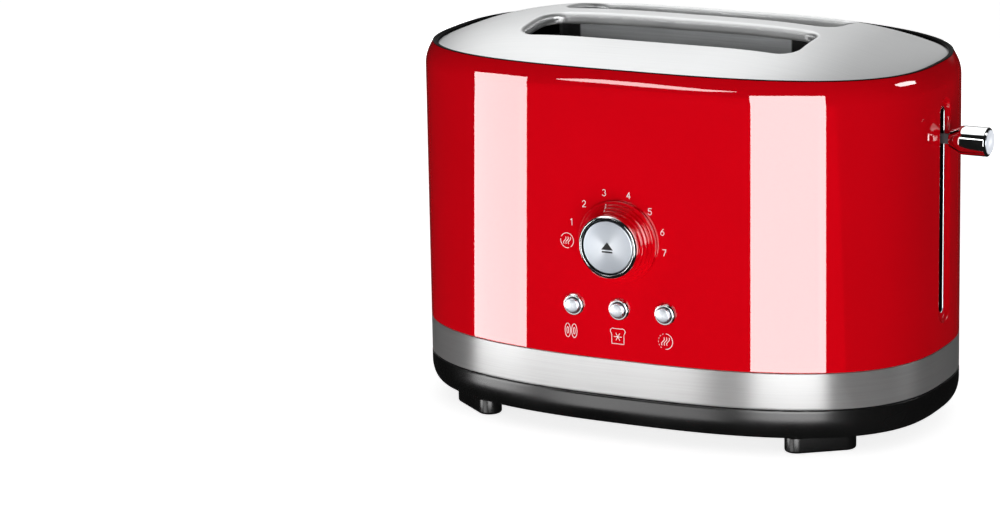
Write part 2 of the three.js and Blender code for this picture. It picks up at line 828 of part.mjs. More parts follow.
// Top sheet of the frame, with a wall up to the flange on each side of each slot and a tab over the rod
function chassisTopSheet() {
  const outerX = chassisHalfLength + chassisSheet;
  const outerY = chassisHalfDepth + seam + chassisSheet;
  const shape = new THREE.Shape();
  shape.moveTo(-outerX, -outerY);
  shape.lineTo(outerX, -outerY);
  shape.lineTo(outerX, -topTabWidth / 2);
  shape.lineTo(outerX + topTabReach, -topTabWidth / 2);
  shape.lineTo(outerX + topTabReach, topTabWidth / 2);
  shape.lineTo(outerX, topTabWidth / 2);
  shape.lineTo(outerX, outerY);
  shape.lineTo(-outerX, outerY);
  shape.closePath();
  const bottom = chassisTop + seam;
  let top = sheetZ(shape, bottom, bottom + chassisSheet);
  const inside = plateWall + runningGap;
  const collarTop = (x, y) => domeHeight(x, y) - flangeDepth + collarLap;
  const reach = slotLength / 2 - slotCorner / 2;
  const ends = [-1, 1].map((end) => {
    const [from, to] = between(end, reach, slotLength / 2 + slotCorner);
    return block([from, -outerY, bottom + chassisSheet], [to, outerY, ringTop + plateCrown]);
  });
  for (const side of [-1, 1]) {
    const collar = loft([
      slotRing(side, inside + chassisSheet, flat(bottom + chassisSheet / 2)),
      slotRing(side, inside + chassisSheet, collarTop)], true);
    top = join(top, cut(collar, ...ends));
    top = cut(top, loft([
      slotRing(side, inside, flat(bottom - overrun)),
      slotRing(side, inside, flat(ringTop + plateCrown))], true));
  }
  return top;
}

// Heat shield: a plain sheet with two rows of upright vents
function heatShield(side) {
  const reach = chassisHalfLength + chassisSheet;
  const near = chassisHalfDepth + seam;
  const [from, to] = between(side, near, near + chassisSheet);
  const middle = (chassisBottom + chassisTop) / 2;
  const pitch = (2 * reach) / (shieldVents + 1);
  const cutters = [];
  for (let k = 1; k <= shieldVents; k++) {
    const x = -reach + k * pitch;
    for (const row of [-1, 1]) {
      const z = middle + row * shieldVentHeight;
      cutters.push(block(
        [x - shieldVentWidth / 2, from - overrun, z - shieldVentHeight / 2],
        [x + shieldVentWidth / 2, to + overrun, z + shieldVentHeight / 2]));
    }
  }
  return cut(block([-reach, from, chassisBottom], [reach, to, chassisTop]), ...cutters);
}

// Heater card: a mica sheet wound with flat ribbon, held by tabs in the end sheets
function heaterCard(y) {
  const reach = chassisHalfLength - heaterTab / 2;
  let card = block([-reach, y - heaterSheet / 2, heaterBottom], [reach, y + heaterSheet / 2, heaterTop]);
  for (const z of heaterTabHeights()) {
    const tab = chassisHalfLength + 2 * chassisSheet;
    card = join(card, block([-tab, y - heaterSheet / 2, z], [tab, y + heaterSheet / 2, z + heaterTab]));
  }
  const pitch = (heaterTop - heaterBottom) / (ribbonTurns + 1);
  const half = heaterSheet / 2 + ribbonThickness;
  for (let k = 1; k <= ribbonTurns; k++) {
    const z = heaterBottom + k * pitch;
    card = join(card, block(
      [-reach + heaterTab, y - half, z - heaterRibbon / 2],
      [reach - heaterTab, y + half, z + heaterRibbon / 2]));
  }
  return card;
}

// Bread guard: upright wires on a bottom rail that is its pivot, tied by a top rail
function breadGuard(y) {
  const pivotReach = chassisHalfLength + 2 * chassisSheet;
  const half = guardSpan / 2;
  let guard = join(
    barX(guardWire, y, guardPivotHeight, -pivotReach, pivotReach, guardSides),
    barX(guardWire, y, guardRail, -half - guardWire, half + guardWire, guardSides));
  for (let k = 0; k < guardWires; k++) {
    const x = -half + (k * guardSpan) / (guardWires - 1);
    guard = join(guard, barZ(guardWire, x, y, guardPivotHeight, guardTop, guardSides));
  }
  return guard;
}

// Bread lifter: an upright web with fingers across it, through the slots of both end sheets
function breadLifter(side) {
  const y = side * slotCentre;
  const half = lifterSheet / 2;
  const tail = -(chassisHalfLength + chassisSheet + overrun);
  let lifter = block([tail, y - half, lifterTop - lifterWebHeight], [bracketX - seam, y + half, lifterTop]);
  const pitch = guardSpan / (lifterFingers - 1);
  for (let k = 0; k < lifterFingers; k++) {
    const x = -guardSpan / 2 + k * pitch;
    lifter = join(lifter, block(
      [x - fingerWidth / 2, y - lifterWidth / 2, lifterTop - lifterSheet],
      [x + fingerWidth / 2, y + lifterWidth / 2, lifterTop]));
  }
  return lifter;
}

// Carriage bracket: a plate across both lifters, a sleeve on the guide rod and an arm for the armature
function carriageBracket() {
  const low = leverHeight - bracketBelow;
  const high = leverHeight + bracketAbove;
  const back = bracketX + bracketSheet;
  const half = bracketWidth / 2;
  const plate = sheetX(roundedShape(-half, half, low, high, bracketSheet * 2), bracketX, back);
  const outer = rodRadius + runningGap + sleeveWall;
  const sleeveBottom = low;
  const body = join(plate,
    barZ(outer, rodX, rodOffsetY, sleeveBottom, sleeveBottom + sleeveLength, rodSides),
    block([back - bracketSheet / 2, rodOffsetY - bracketSheet, low],
      [rodX, rodOffsetY + bracketSheet, sleeveBottom + sleeveLength]),
    block([back - bracketSheet / 2, -armatureWidth / 2, low],
      [coreX + armatureLength, armatureWidth / 2, low + bracketSheet]));
  return cut(body, barZ(rodRadius + runningGap, rodX, rodOffsetY, low - overrun, high + overrun, rodSides));
}

const leverKnobStart = halfLength + leverKnobStandOff;
const leverKnobEnd = leverKnobStart + leverKnobLength;

// Lever arm: a flat bar out through the slot, with a tongue inside the grip
function leverArm() {
  const half = leverArmThickness / 2;
  const start = bracketX + bracketSheet + seam;
  return join(
    block(
      [start, -half, leverHeight - leverArmHeight / 2],
      [leverKnobStart - seam, half, leverHeight + leverArmHeight / 2]),
    block([leverKnobStart - leverArmHeight, -half, leverHeight - tongueHeight / 2],
      [leverKnobStart + tongueLength, half, leverHeight + tongueHeight / 2]));
}

// Lever grip: a turned bar with a round inner end and a chamfered outer end
function leverKnob() {
  const profile = [[0, leverKnobStart]];
  for (let k = 0; k <= cornerSteps; k++) {
    const angle = (k / cornerSteps) * Math.PI / 2;
    const radius = leverKnobRadius * (1 / 2 + Math.sin(angle) / 2);
    profile.push([radius, leverKnobStart + leverKnobRadius * gripRoundShare * (1 - Math.cos(angle))]);
  }
  profile.push([leverKnobRadius, leverKnobEnd - leverKnobChamfer]);
  profile.push([leverKnobRadius - leverKnobChamfer, leverKnobEnd], [0, leverKnobEnd]);
  const points = profile.map(([radius, along]) => new THREE.Vector2(radius, along));
  const turned = new THREE.LatheGeometry(points, leverKnobSides).rotateZ(-Math.PI / 2);
  const grip = turned.translate(0, 0, leverHeight);
  const half = leverArmThickness / 2 + seam;
  return cut(solid(grip), block(
    [leverKnobStart - overrun, -half, leverHeight - tongueHeight / 2 - seam],
    [leverKnobStart + tongueLength + seam, half, leverHeight + tongueHeight / 2 + seam]));
}

// Armature plate under the bracket's arm
function armaturePlate() {
  const half = armatureWidth / 2;
  return block(
    [coreX, -half, armatureBottom], [coreX + armatureLength, half, armatureBottom + armatureThickness]);
}

// Guide rod from the base to the frame's top tab
function guideRod() {
  return barZ(rodRadius, rodX, rodOffsetY, chassisBottom, chassisTop, rodSides);
}

// Return spring: one unbroken coil round the rod, with straight ends, under the sleeve
const springBottom = chassisBottom + seam;
const springTop = leverHeight - bracketBelow - seam;
const springRadius = rodRadius + runningGap + springWire / 2;

function returnSpring() {
  const wire = springWire / 2;
  const count = springTurns * springSteps;
  const rings = [];
  for (let i = 0; i <= count; i++) {
    const angle = (i / springSteps) * 2 * Math.PI;
    const height = springBottom + wire + (i / count) * (springTop - springBottom - springWire);
    const ring = [];
    for (let s = 0; s < springSides; s++) {
      const turn = (s / springSides) * 2 * Math.PI;
      const radius = springRadius + wire * Math.cos(turn);
      ring.push(new THREE.Vector3(
        rodX + radius * Math.cos(angle),
        rodOffsetY + radius * Math.sin(angle),
        height + wire * Math.sin(turn)));
    }
    rings.push(ring);
  }
  console.log("return spring, least gap to itself in mm:", leastGap(rings).toFixed(2));
  return loft(rings, true);
}

// Least distance between points of a tube that lie at least half a turn apart along it
function leastGap(rings) {
  let least = Infinity;
  for (let i = 0; i < rings.length; i++) {
    for (let j = i + springSteps / 2; j < rings.length; j++) {
      for (const a of rings[i]) {
        for (const b of rings[j]) least = Math.min(least, a.distanceTo(b));
      }
    }
  }
  return least;
}

// Latch magnet: an E-shaped core on its post and a coil round the middle leg
function latchCore() {
  const half = armatureWidth / 2;
  const base = chassisBottom + coreBaseHeight;
  const legHalf = half - coilWall;
  const leg = (x) => block([x, -legHalf, chassisBottom], [x + coreLegWidth, legHalf, coreTop]);
  const lastLeg = coreX + armatureLength - coreLegWidth;
  return join(
    block([coreX, -half, chassisBottom], [coreX + armatureLength, half, base]),
    leg(coreX), leg((coreX + lastLeg) / 2), leg(lastLeg));
}

function latchCoil() {
  const x = coreX + (armatureLength - coreLegWidth) / 2;
  const half = armatureWidth / 2;
  const low = chassisBottom + coreBaseHeight + seam;
  const high = coreTop - coilHeadroom;
  const outer = block([x - coilWall, -half, low], [x + coreLegWidth + coilWall, half, high]);
  const hole = block([x - seam, -half + coilWall - seam, low - overrun],
    [x + coreLegWidth + seam, half - coilWall + seam, high + overrun]);
  return cut(outer, hole);
}

// Browning dial: a chrome ring with a flared skirt and a hub on the hollow shaft
function browningKnob() {
  const at = (reach) => frontFace - reach;
  const waistReach = dialFaceReach - 2 * dialRimRound - dialSkirtEdge;
  const profile = [[dialBoreRadius, at(-dialHubDepth)], [dialHubRadius, at(-dialHubDepth)]];
  profile.push([dialHubRadius, at(dialSkirtGap)], [dialSkirtRadius, at(dialSkirtGap)]);
  flareRadiusShares.forEach((share, k) => {
    const start = dialSkirtGap + dialSkirtEdge;
    const reach = start + flareReachShares[k] * (waistReach - start);
    profile.push([dialWaistRadius + share * (dialSkirtRadius - dialWaistRadius), at(reach)]);
  });
  profile.push([dialRimRadius, at(waistReach)], [dialRimRadius, at(dialFaceReach - dialRimRound)]);
  profile.push([dialRimRadius - dialRimRound, at(dialFaceReach)], [dialRecessRadius, at(dialFaceReach)]);
  profile.push([dialRecessRadius, at(dialFaceReach - dialRecessDepth)]);
  profile.push([dialBoreRadius, at(dialFaceReach - dialRecessDepth)], [dialBoreRadius, at(-dialHubDepth)]);
  const ring = turnedY(profile, 0, dialHeight, dialSteps);
  const reach = dialSkirtRadius - pointerReach;
  const pointer = block(
    [dialWaistRadius - dialRimRound, at(waistReach / 2), -pointerWidth / 2],
    [reach, at(dialSkirtGap + dialSkirtEdge / 2), pointerWidth / 2]);
  const turned = pointer.rotate([0, -THREE.MathUtils.radToDeg(pointerAngle), 0]);
  return join(ring, turned.translate([0, 0, dialHeight]));
}

// Dial bush: a flanged ring behind the shell that guides the hub
function dialBush() {
  const inner = dialHubRadius + seam;
  const outer = inner + bushWall;
  const flangeFront = frontWallBack + seam;
  return turnedY([
    [inner, frontFace + seam], [outer, frontFace + seam],
    [outer, flangeFront], [outer + bushFlange, flangeFront],
    [outer + bushFlange, flangeFront + bushFlangeThickness], [inner, flangeFront + bushFlangeThickness],
    [inner, frontFace + seam],
  ], 0, dialHeight, dialSteps);
}

const potFront = boardFront - seam - potDepth;

// Hollow shaft between the potentiometer and the dial's hub
function dialShaft() {
  const front = frontFace - dialFaceReach + dialRecessDepth + seam;
  const back = potFront + potDepth / 2;
  return cut(barY(shaftRadius, 0, dialHeight, front, back, buttonSteps),
    barY(shaftBoreRadius, 0, dialHeight, front - overrun, back + overrun, buttonSteps));
}

// Potentiometer on the board, bored for the shaft and for the eject stem
function potentiometer() {
  const half = potSize / 2;
  const back = potFront + potDepth;
  const body = block([-half, potFront, dialHeight - half], [half, back, dialHeight + half]);
  return cut(body,
    barY(shaftRadius + seam, 0, dialHeight, potFront - overrun, potFront + potDepth / 2 + seam, buttonSteps),
    barY(shaftBoreRadius + seam, 0, dialHeight, potFront, back + overrun, buttonSteps));
}

// Eject button: a crowned disc in the dial with a stem through the hollow shaft
const ejectStemEnd = boardBack - plungerReach - ejectTravel;

function ejectCap() {
  const rim = frontFace - dialFaceReach + ejectSink;
  const radius = dialRecessRadius - runningGap;
  return turnedY([
    [0, rim - ejectCrown], [radius - ejectCrown, rim], [radius, rim + ejectCrown],
    [radius, rim + ejectThickness], [ejectStemRadius, rim + ejectThickness],
    [ejectStemRadius, ejectStemEnd], [0, ejectStemEnd],
  ], 0, dialHeight, dialSteps);
}

// Bezel: a chrome barrel through the shell with a flange on its face
function buttonBezel(x) {
  const face = -outlineReach(Math.abs(x) - buttonRadius);
  const inner = buttonRadius + seam;
  const outer = inner + bezelBarrelWall - seam;
  const flangeBack = face - seam;
  const flangeFront = flangeBack - bezelFlangeThickness;
  const front = flangeBack - bezelReach;
  const tail = flangeBack + bezelTail;
  return turnedY([
    [inner, front], [inner, tail], [outer, tail],
    [outer, flangeBack], [outer + bezelFlangeWidth, flangeBack],
    [outer + bezelFlangeWidth, flangeFront], [outer, flangeFront - bezelFlangeThickness / 2],
    [outer - bezelBarrelWall / 2, front], [inner, front],
  ], x, buttonHeight, buttonSteps);
}

const switchFront = boardFront - seam - switchDepth;
const buttonStemEnd = switchFront - plungerReach - buttonTravel - seam;

// Push button: a crowned cap, a retainer behind the bezel and a stem to its switch
function pushButton(x) {
  const flangeBack = -outlineReach(Math.abs(x) - buttonRadius) - seam;
  const front = flangeBack - buttonReach;
  const retainer = flangeBack + bezelTail + seam;
  return turnedY([
    [0, front - buttonCrown], [buttonRadius - buttonCrown, front],
    [buttonRadius, front + buttonCrown], [buttonRadius, retainer], [buttonRadius + retainerWidth, retainer],
    [buttonRadius + retainerWidth, retainer + retainerThickness],
    [buttonStemRadius, retainer + retainerThickness],
    [buttonStemRadius, buttonStemEnd], [0, buttonStemEnd],
  ], x, buttonHeight, buttonSteps);
}

// Tact switch with its plunger, facing the front
function tactSwitch(x, z, front) {
  const half = switchSize / 2;
  return join(
    block([x - half, front, z - half], [x + half, front + switchDepth, z + half]),
    barY(plungerRadius, x, z, front - plungerReach, front + switchDepth / 2, buttonSteps / 2));
}

const boardBottom = buttonHeight - boardBelow;
const boardTop = dialHeight + boardAbove;
const boardHalf = buttonPitch + boardMargin;

// Control board, bored behind the dial
function controlBoard() {
  const sheet = block([-boardHalf, boardFront, boardBottom], [boardHalf, boardBack, boardTop]);
  const radius = shaftBoreRadius + seam;
  return cut(sheet, barY(radius, 0, dialHeight, boardFront - overrun, boardBack + overrun, buttonSteps));
}

// Moulded frame that stands on the base floor and grips the control board's edges
function controlFrame() {
  const outer = boardHalf + frameSide;
  const window = boardHalf - frameGrip;
  const from = boardFront - frameDepth / 2;
  const to = from + frameDepth;
  const bottom = floorTop + seam;
  const sill = boardBottom - seam - frameRail;
  const arch = bottom + frameRail;
  return cut(block([-outer, from, bottom], [outer, to, boardTop + seam]),
    block([-boardHalf - seam, boardFront - seam, boardBottom - seam],
      [boardHalf + seam, boardBack + seam, boardTop + overrun]),
    block([-window, from - overrun, boardBottom + frameGrip], [window, to + overrun, boardTop - frameGrip]),
    block([-window, from - overrun, arch], [window, to + overrun, sill]));
}

// Power board in its two posts, and what is soldered to it
const powerFace = powerX - boardThickness / 2 - seam;

function powerBoard() {
  const half = boardThickness / 2;
  return block([powerX - half, -powerWidth / 2, powerBottom], [powerX + half, powerWidth / 2, powerTop]);
}

function onPowerBoard(depth, width, height, y, z) {
  return block([powerFace - depth, y, z], [powerFace, y + width, z + height]);
}

function powerRelay() {
  const y = -powerWidth / 2 + partSpacing;
  return onPowerBoard(relayDepth, relayWidth, relayHeight, y, powerBottom + partSpacing * 4);
}

function transformer() {
  const z = powerBottom + partSpacing * 2 + relayHeight + terminalHeight;
  return onPowerBoard(transformerDepth, transformerWidth, transformerHeight, partSpacing / 2, z);
}

function filterCapacitor() {
  const y = -powerWidth / 2 + partSpacing + relayWidth / 2;
  const z = powerBottom + partSpacing * 5 + relayHeight + capacitorRadius;
  return barX(capacitorRadius, y, z, powerFace - capacitorLength, powerFace, buttonSteps);
}

function terminalBlock() {
  const z = powerBottom + partSpacing * 2;
  return onPowerBoard(terminalDepth, terminalWidth, terminalHeight, partSpacing / 2, z);
}

// Assembly, moved so that its origin is the bottom centre of its box
const toaster = new THREE.Group();
const reachX = leverKnobEnd - halfLength;
toaster.position.set(-reachX / 2, dialFaceReach / 2, 0);

function fit(name, body, material) {
  const mesh = new THREE.Mesh(surfaceOf(body), material);
  mesh.name = name;
  toaster.add(mesh);
}

fit("outer_shell", outerShell(), finish.red);
fit("trim_ring", trimRing(), finish.black);
fit("top_plate", topPlate(), finish.brushed);
fit("steel_band", steelBand(), finish.brushed);
fit("base_housing", baseHousing(), finish.black);
for (const [front, sideY] of [["front", -1], ["rear", 1]]) {
  fit(`foot_${front}_left`, rubberFoot(-1, sideY), finish.rubber);
  fit(`foot_${front}_right`, rubberFoot(1, sideY), finish.rubber);
}
fit("crumb_tray", crumbTray(), finish.sheet);
fit("crumb_tray_pull", trayPull(), finish.black);
fit("cord_gland", cordGland(), finish.moulding);

fit("chassis_plate_left", chassisPlate(-1), finish.sheet);
fit("chassis_plate_right", chassisPlate(1), finish.sheet);
fit("chassis_top", chassisTopSheet(), finish.sheet);
fit("heat_shield_front", heatShield(-1), finish.sheet);
fit("heat_shield_rear", heatShield(1), finish.sheet);
["front", "centre", "rear"].forEach((place, k) => {
  fit(`heater_${place}`, heaterCard(heaterPlaces[k]), finish.mica);
});
["front_outer", "front_inner", "rear_inner", "rear_outer"].forEach((place, k) => {
  fit(`guard_${place}`, breadGuard(guardPlaces[k]), finish.wire);
});

fit("lifter_front", breadLifter(-1), finish.sheet);
fit("lifter_rear", breadLifter(1), finish.sheet);
fit("carriage_bracket", carriageBracket(), finish.sheet);
fit("lever_arm", leverArm(), finish.sheet);
fit("lever_knob", leverKnob(), finish.chrome);
fit("armature_plate", armaturePlate(), finish.sheet);
fit("guide_rod", guideRod(), finish.wire);
fit("return_spring", returnSpring(), finish.wire);
fit("latch_core", latchCore(), finish.sheet);
fit("latch_coil", latchCoil(), finish.copper);

fit("browning_knob", browningKnob(), finish.chrome);
fit("dial_shaft", dialShaft(), finish.wire);
fit("eject_button", ejectCap(), finish.brushed);
fit("dial_bush", dialBush(), finish.moulding);
fit("potentiometer", potentiometer(), finish.moulding);
["bagel", "defrost", "warm"].forEach((use, k) => {
  const x = buttonPlaces()[k];
  fit(`bezel_${use}`, buttonBezel(x), finish.chrome);
  fit(`button_${use}`, pushButton(x), finish.chrome);
  fit(`switch_${use}`, tactSwitch(x, buttonHeight, switchFront), finish.moulding);
});
fit("switch_eject", tactSwitch(0, dialHeight, boardBack + seam), finish.moulding);
fit("control_board", controlBoard(), finish.board);
fit("control_frame", controlFrame(), finish.moulding);

fit("power_board", powerBoard(), finish.board);
fit("power_relay", powerRelay(), finish.moulding);
fit("transformer", transformer(), finish.copper);
fit("filter_capacitor", filterCapacitor(), finish.moulding);
fit("terminal_block", terminalBlock(), finish.moulding);

export default toaster;
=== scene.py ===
import math

import bmesh
import bpy
import numpy as np
from mathutils import Matrix, Vector
from mathutils.geometry import delaunay_2d_cdt


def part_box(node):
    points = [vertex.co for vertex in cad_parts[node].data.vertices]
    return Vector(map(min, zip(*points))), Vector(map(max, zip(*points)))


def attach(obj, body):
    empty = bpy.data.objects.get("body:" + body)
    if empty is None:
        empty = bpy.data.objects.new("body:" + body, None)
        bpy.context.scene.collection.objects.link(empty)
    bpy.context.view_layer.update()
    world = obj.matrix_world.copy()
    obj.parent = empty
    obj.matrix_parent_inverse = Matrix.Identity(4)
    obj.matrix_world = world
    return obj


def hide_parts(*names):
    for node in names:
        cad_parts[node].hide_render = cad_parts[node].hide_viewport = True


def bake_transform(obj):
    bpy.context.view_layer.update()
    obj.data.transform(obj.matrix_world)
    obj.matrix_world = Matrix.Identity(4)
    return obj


# Two-slot toaster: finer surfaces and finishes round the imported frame.
# Shapes are worked out in millimetres from the middle of the body, feet at height 0,
# and moved into the frame, in metres, when a mesh is made.

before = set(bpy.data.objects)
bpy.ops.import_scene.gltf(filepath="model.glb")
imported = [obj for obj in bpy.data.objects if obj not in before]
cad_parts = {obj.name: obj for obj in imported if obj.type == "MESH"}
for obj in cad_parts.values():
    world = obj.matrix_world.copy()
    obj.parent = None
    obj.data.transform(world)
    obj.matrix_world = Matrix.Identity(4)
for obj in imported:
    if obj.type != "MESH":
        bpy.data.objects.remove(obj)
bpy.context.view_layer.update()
print("stage: frame loaded")


def frameBox(name):
    # a frame node's lowest and highest corners, in millimetres
    return [np.array(corner) * 1000 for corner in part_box(name)]


def readBody():
    # the body's outline, heights and middle, read from the frame's own pieces
    low, high = frameBox("outer_shell")
    middle = (low + high) / 2 * (1, 1, 0)
    return {
        "power": 2.62,          # of the superellipse outline
        "rimDrop": 1.9,         # the rim falls towards both ends
        "seam": 0.3,
        "middle": middle,
        "halfLength": (high - low)[0] / 2,
        "halfDepth": (high - low)[1] / 2,
        "rimTop": high[2],
        "shellBottom": low[2],
        "ringTop": frameBox("trim_ring")[1][2],
        "bandBottom": frameBox("steel_band")[0][2],
        "baseBottom": frameBox("base_housing")[0][2],
    }


body = readBody()


def middleOf(name):
    # the middle of a frame node, from the middle of the body
    low, high = frameBox(name)
    return (low + high) / 2 - body["middle"]


# Camera: the photograph's angle, a long lens a little above the body
camera = {
    "place": (860.625, -1873.869, 601.263),   # from the body's middle, millimetres
    "right": (0.88896388, 0.45755406, -0.01968497),
    "up": (-0.09558784, 0.22740655, 0.96909712),
    "forward": (-0.44789082, 0.85961069, -0.24589281),
    "lens": 142.9,
    "sensor": 36.0,
}


def placeCamera():
    data = bpy.data.cameras.new("camera")
    data.lens = camera["lens"]
    data.sensor_width = camera["sensor"]
    data.sensor_fit = "HORIZONTAL"
    data.clip_start = 0.05
    data.clip_end = 60
    made = bpy.data.objects.new("camera", data)
    bpy.context.scene.collection.objects.link(made)
    right, up, forward = (Vector(camera[k]) for k in ("right", "up", "forward"))
    turn = Matrix((right, up, -forward)).transposed().to_4x4()
    place = (np.array(camera["place"]) + body["middle"]) * 0.001
    made.matrix_world = Matrix.Translation(place.tolist()) @ turn
    bpy.context.scene.camera = made


placeCamera()


# Meshes from arrays

def meshPiece(name, points, quads=None, triangles=None, uv=None, marks=None, smooth=True,
              welded=False):
    # points in body millimetres; faces as index arrays; uv and marks are one value for each point
    points = (np.asarray(points, float).reshape(-1, 3) + body["middle"]) * 0.001
    quads = np.zeros((0, 4), int) if quads is None else np.asarray(quads, int)
    triangles = np.zeros((0, 3), int) if triangles is None else np.asarray(triangles, int)
    loops = np.concatenate([quads.ravel(), triangles.ravel()])
    starts = np.concatenate([
        np.arange(len(quads)) * 4, len(quads) * 4 + np.arange(len(triangles)) * 3])
    mesh = bpy.data.meshes.new(name)
    mesh.vertices.add(len(points))
    mesh.vertices.foreach_set("co", points.astype(np.float32).ravel())
    mesh.loops.add(len(loops))
    mesh.loops.foreach_set("vertex_index", loops.astype(np.int32))
    mesh.polygons.add(len(starts))
    mesh.polygons.foreach_set("loop_start", starts.astype(np.int32))
    mesh.polygons.foreach_set("use_smooth", np.full(len(starts), smooth))
    mesh.update(calc_edges=True)
    mesh.validate()
    if uv is not None:
        layer = mesh.uv_layers.new(name="along")
        layer.data.foreach_set("uv", np.asarray(uv, np.float32)[loops].ravel())
    for key, values in (marks or {}).items():
        layer = mesh.attributes.new(key, "FLOAT", "POINT")
        layer.data.foreach_set("value", np.asarray(values, np.float32).ravel())
    if welded:      # seams and poles close
        joined = bmesh.new()
        joined.from_mesh(mesh)
        bmesh.ops.remove_doubles(joined, verts=joined.verts, dist=2e-7)
        joined.to_mesh(mesh)
        joined.free()
    made = bpy.data.objects.new(name, mesh)
    bpy.context.scene.collection.objects.link(made)
    return made


def gridQuads(shape, around=True, closed=False):
    # quads between neighbours of a grid whose points are numbered row by row; around joins each
    # row's last point to its first, closed joins the last row to the first
    rows, columns = shape[:2]
    i = np.arange(rows if closed else rows - 1)[:, None]
    j = np.arange(columns if around else columns - 1)[None, :]
    nextRow, nextColumn = (i + 1) % rows, (j + 1) % columns
    corners = [i * columns + j, i * columns + nextColumn,
               nextRow * columns + nextColumn, nextRow * columns + j]
    return np.stack([np.broadcast_to(c, (i.size, j.size)) for c in corners], -1).reshape(-1, 4)


def roundedPath(corners, steps=5):
    # a path through corners (a, b, radius), each corner turned into an arc that meets its sides
    path = []
    for k, (a, b, radius) in enumerate(corners):
        here = np.array([a, b], float)
        if radius <= 0 or k in (0, len(corners) - 1):
            path.append(here)
            continue
        before = np.array(corners[k - 1][:2], float) - here
        after = np.array(corners[k + 1][:2], float) - here
        before, after = before / np.linalg.norm(before), after / np.linalg.norm(after)
        half = math.acos(float(np.clip(before @ after, -1, 1))) / 2
        if half > math.pi / 2 - 1e-3:
            path.append(here)
            continue
        reach = radius / math.tan(half)
        middle = (before + after) / np.linalg.norm(before + after)
        centre = here + middle * radius / math.sin(half)
        start, end = here + before * reach - centre, here + after * reach - centre
        turn = math.pi - 2 * half
        share = np.linspace(0, 1, steps + 1)[:, None]
        arc = (np.sin((1 - share) * turn) * start + np.sin(share * turn) * end) / math.sin(turn)
        path.extend(centre + arc)
    return np.array(path)


def turnedPoints(path, place, along, steps):
    # a path of (radius, distance) turned about a line through place, along "x" or towards the front
    angle = np.linspace(0, 2 * math.pi, steps, endpoint=False)[None, :]
    radius, reach = path[:, 0][:, None], path[:, 1][:, None]
    flat = np.zeros_like(radius * angle)
    if along == "x":
        parts = [reach + flat, radius * np.cos(angle), radius * np.sin(angle)]
    else:
        parts = [radius * np.cos(angle), -reach + flat, radius * np.sin(angle)]
    return np.stack(parts, -1) + np.array(place, float)


def turnedPiece(name, corners, place, along="front", steps=96, roundSteps=5):
    # a turned body: its uv is (share of the turn, distance along the path)
    path = roundedPath(corners, roundSteps)
    points = turnedPoints(path, place, along, steps)
    way = np.concatenate([[0], np.cumsum(np.linalg.norm(np.diff(path, axis=0), axis=1))])
    uv = np.stack(np.broadcast_arrays(
        np.linspace(0, 1, steps, endpoint=False)[None, :], way[:, None] * 0.001), -1)
    radius = np.broadcast_to(path[:, :1], (len(path), steps))
    piece = meshPiece(name, points, gridQuads(points.shape), uv=uv.reshape(-1, 2),
                      marks={"radius": radius}, welded=True)
    # in faces across the seam the share of the turn runs on past one
    layer = piece.data.uv_layers["along"].data
    values = np.empty(2 * len(layer), np.float32)
    layer.foreach_get("uv", values)
    starts = np.empty(len(piece.data.polygons), np.int32)
    piece.data.polygons.foreach_get("loop_start", starts)
    share = values[::2]
    most = np.repeat(np.maximum.reduceat(share, starts), np.diff(np.append(starts, len(share))))
    share += most - share > 0.5
    layer.foreach_set("uv", values)
    return piece


def tubePoints(path, radius, sides):
    # a round tube carried along a path of points: rings square to the path, turned to a fixed side
    path = np.asarray(path, float)
    run = np.gradient(path, axis=0)
    run /= np.linalg.norm(run, axis=1)[:, None]
    guide = np.eye(3)[np.argmin(np.abs(run).mean(0))]
    sideways = np.cross(run, guide)
    sideways /= np.linalg.norm(sideways, axis=1)[:, None]
    other = np.cross(sideways, run)
    angle = np.linspace(0, 2 * math.pi, sides, endpoint=False)
    radius = np.broadcast_to(np.asarray(radius, float), len(path))[:, None, None]
    ring = sideways[:, None] * np.cos(angle)[None, :, None] - other[:, None] * np.sin(angle)[None, :, None]
    return path[:, None] + radius * ring


def roundEnds(path, radius, steps=4):
    # the same path with its ends drawn in to a round tip, as points and radii
    path = np.asarray(path, float)
    angle = np.linspace(0, math.pi / 2, steps + 1)[1:]
    first, last = path[0] - path[1], path[-1] - path[-2]
    first, last = first / np.linalg.norm(first), last / np.linalg.norm(last)
    tipRadius = radius * np.abs(np.cos(angle))
    head = path[0] + first * (np.sin(angle)[:, None] * radius)
    tail = path[-1] + last * (np.sin(angle)[:, None] * radius)
    points = np.concatenate([head[::-1], path, tail])
    radii = np.concatenate([tipRadius[::-1], np.full(len(path), radius), tipRadius])
    return points, radii


def roundWire(path, radius, sides):
    # a tube with round tips, as points and quads
    points = tubePoints(*roundEnds(path, radius), sides)
    return points, gridQuads(points.shape)


def gathered(parts):
    # several (points, quads) lots as one
    points, quads, count = [], [], 0
    for some, faces in parts:
        some = some.reshape(-1, some.shape[-1])
        points.append(some)
        quads.append(faces + count)
        count += len(some)
    return np.concatenate(points), np.concatenate(quads)


def hemmed(points, quads, inside, offset):
    # the open edges whose middles pass the test get a strip of faces, moved by offset
    sides = np.concatenate([quads[:, [k, (k + 1) % 4]] for k in range(4)])
    ordered = np.sort(sides, axis=1)
    _, first, count = np.unique(ordered, axis=0, return_index=True, return_counts=True)
    edges = sides[first[count == 1]]
    middle = (points[edges[:, 0]] + points[edges[:, 1]]) / 2
    edges = edges[inside(middle)]
    used, local = np.unique(edges, return_inverse=True)
    local = local.reshape(edges.shape) + len(points)
    strip = np.stack([edges[:, 1], edges[:, 0], local[:, 0], local[:, 1]], -1)
    return np.concatenate([points, points[used] + np.array(offset, float)]), np.concatenate([quads, strip])


# The body's outline and heights

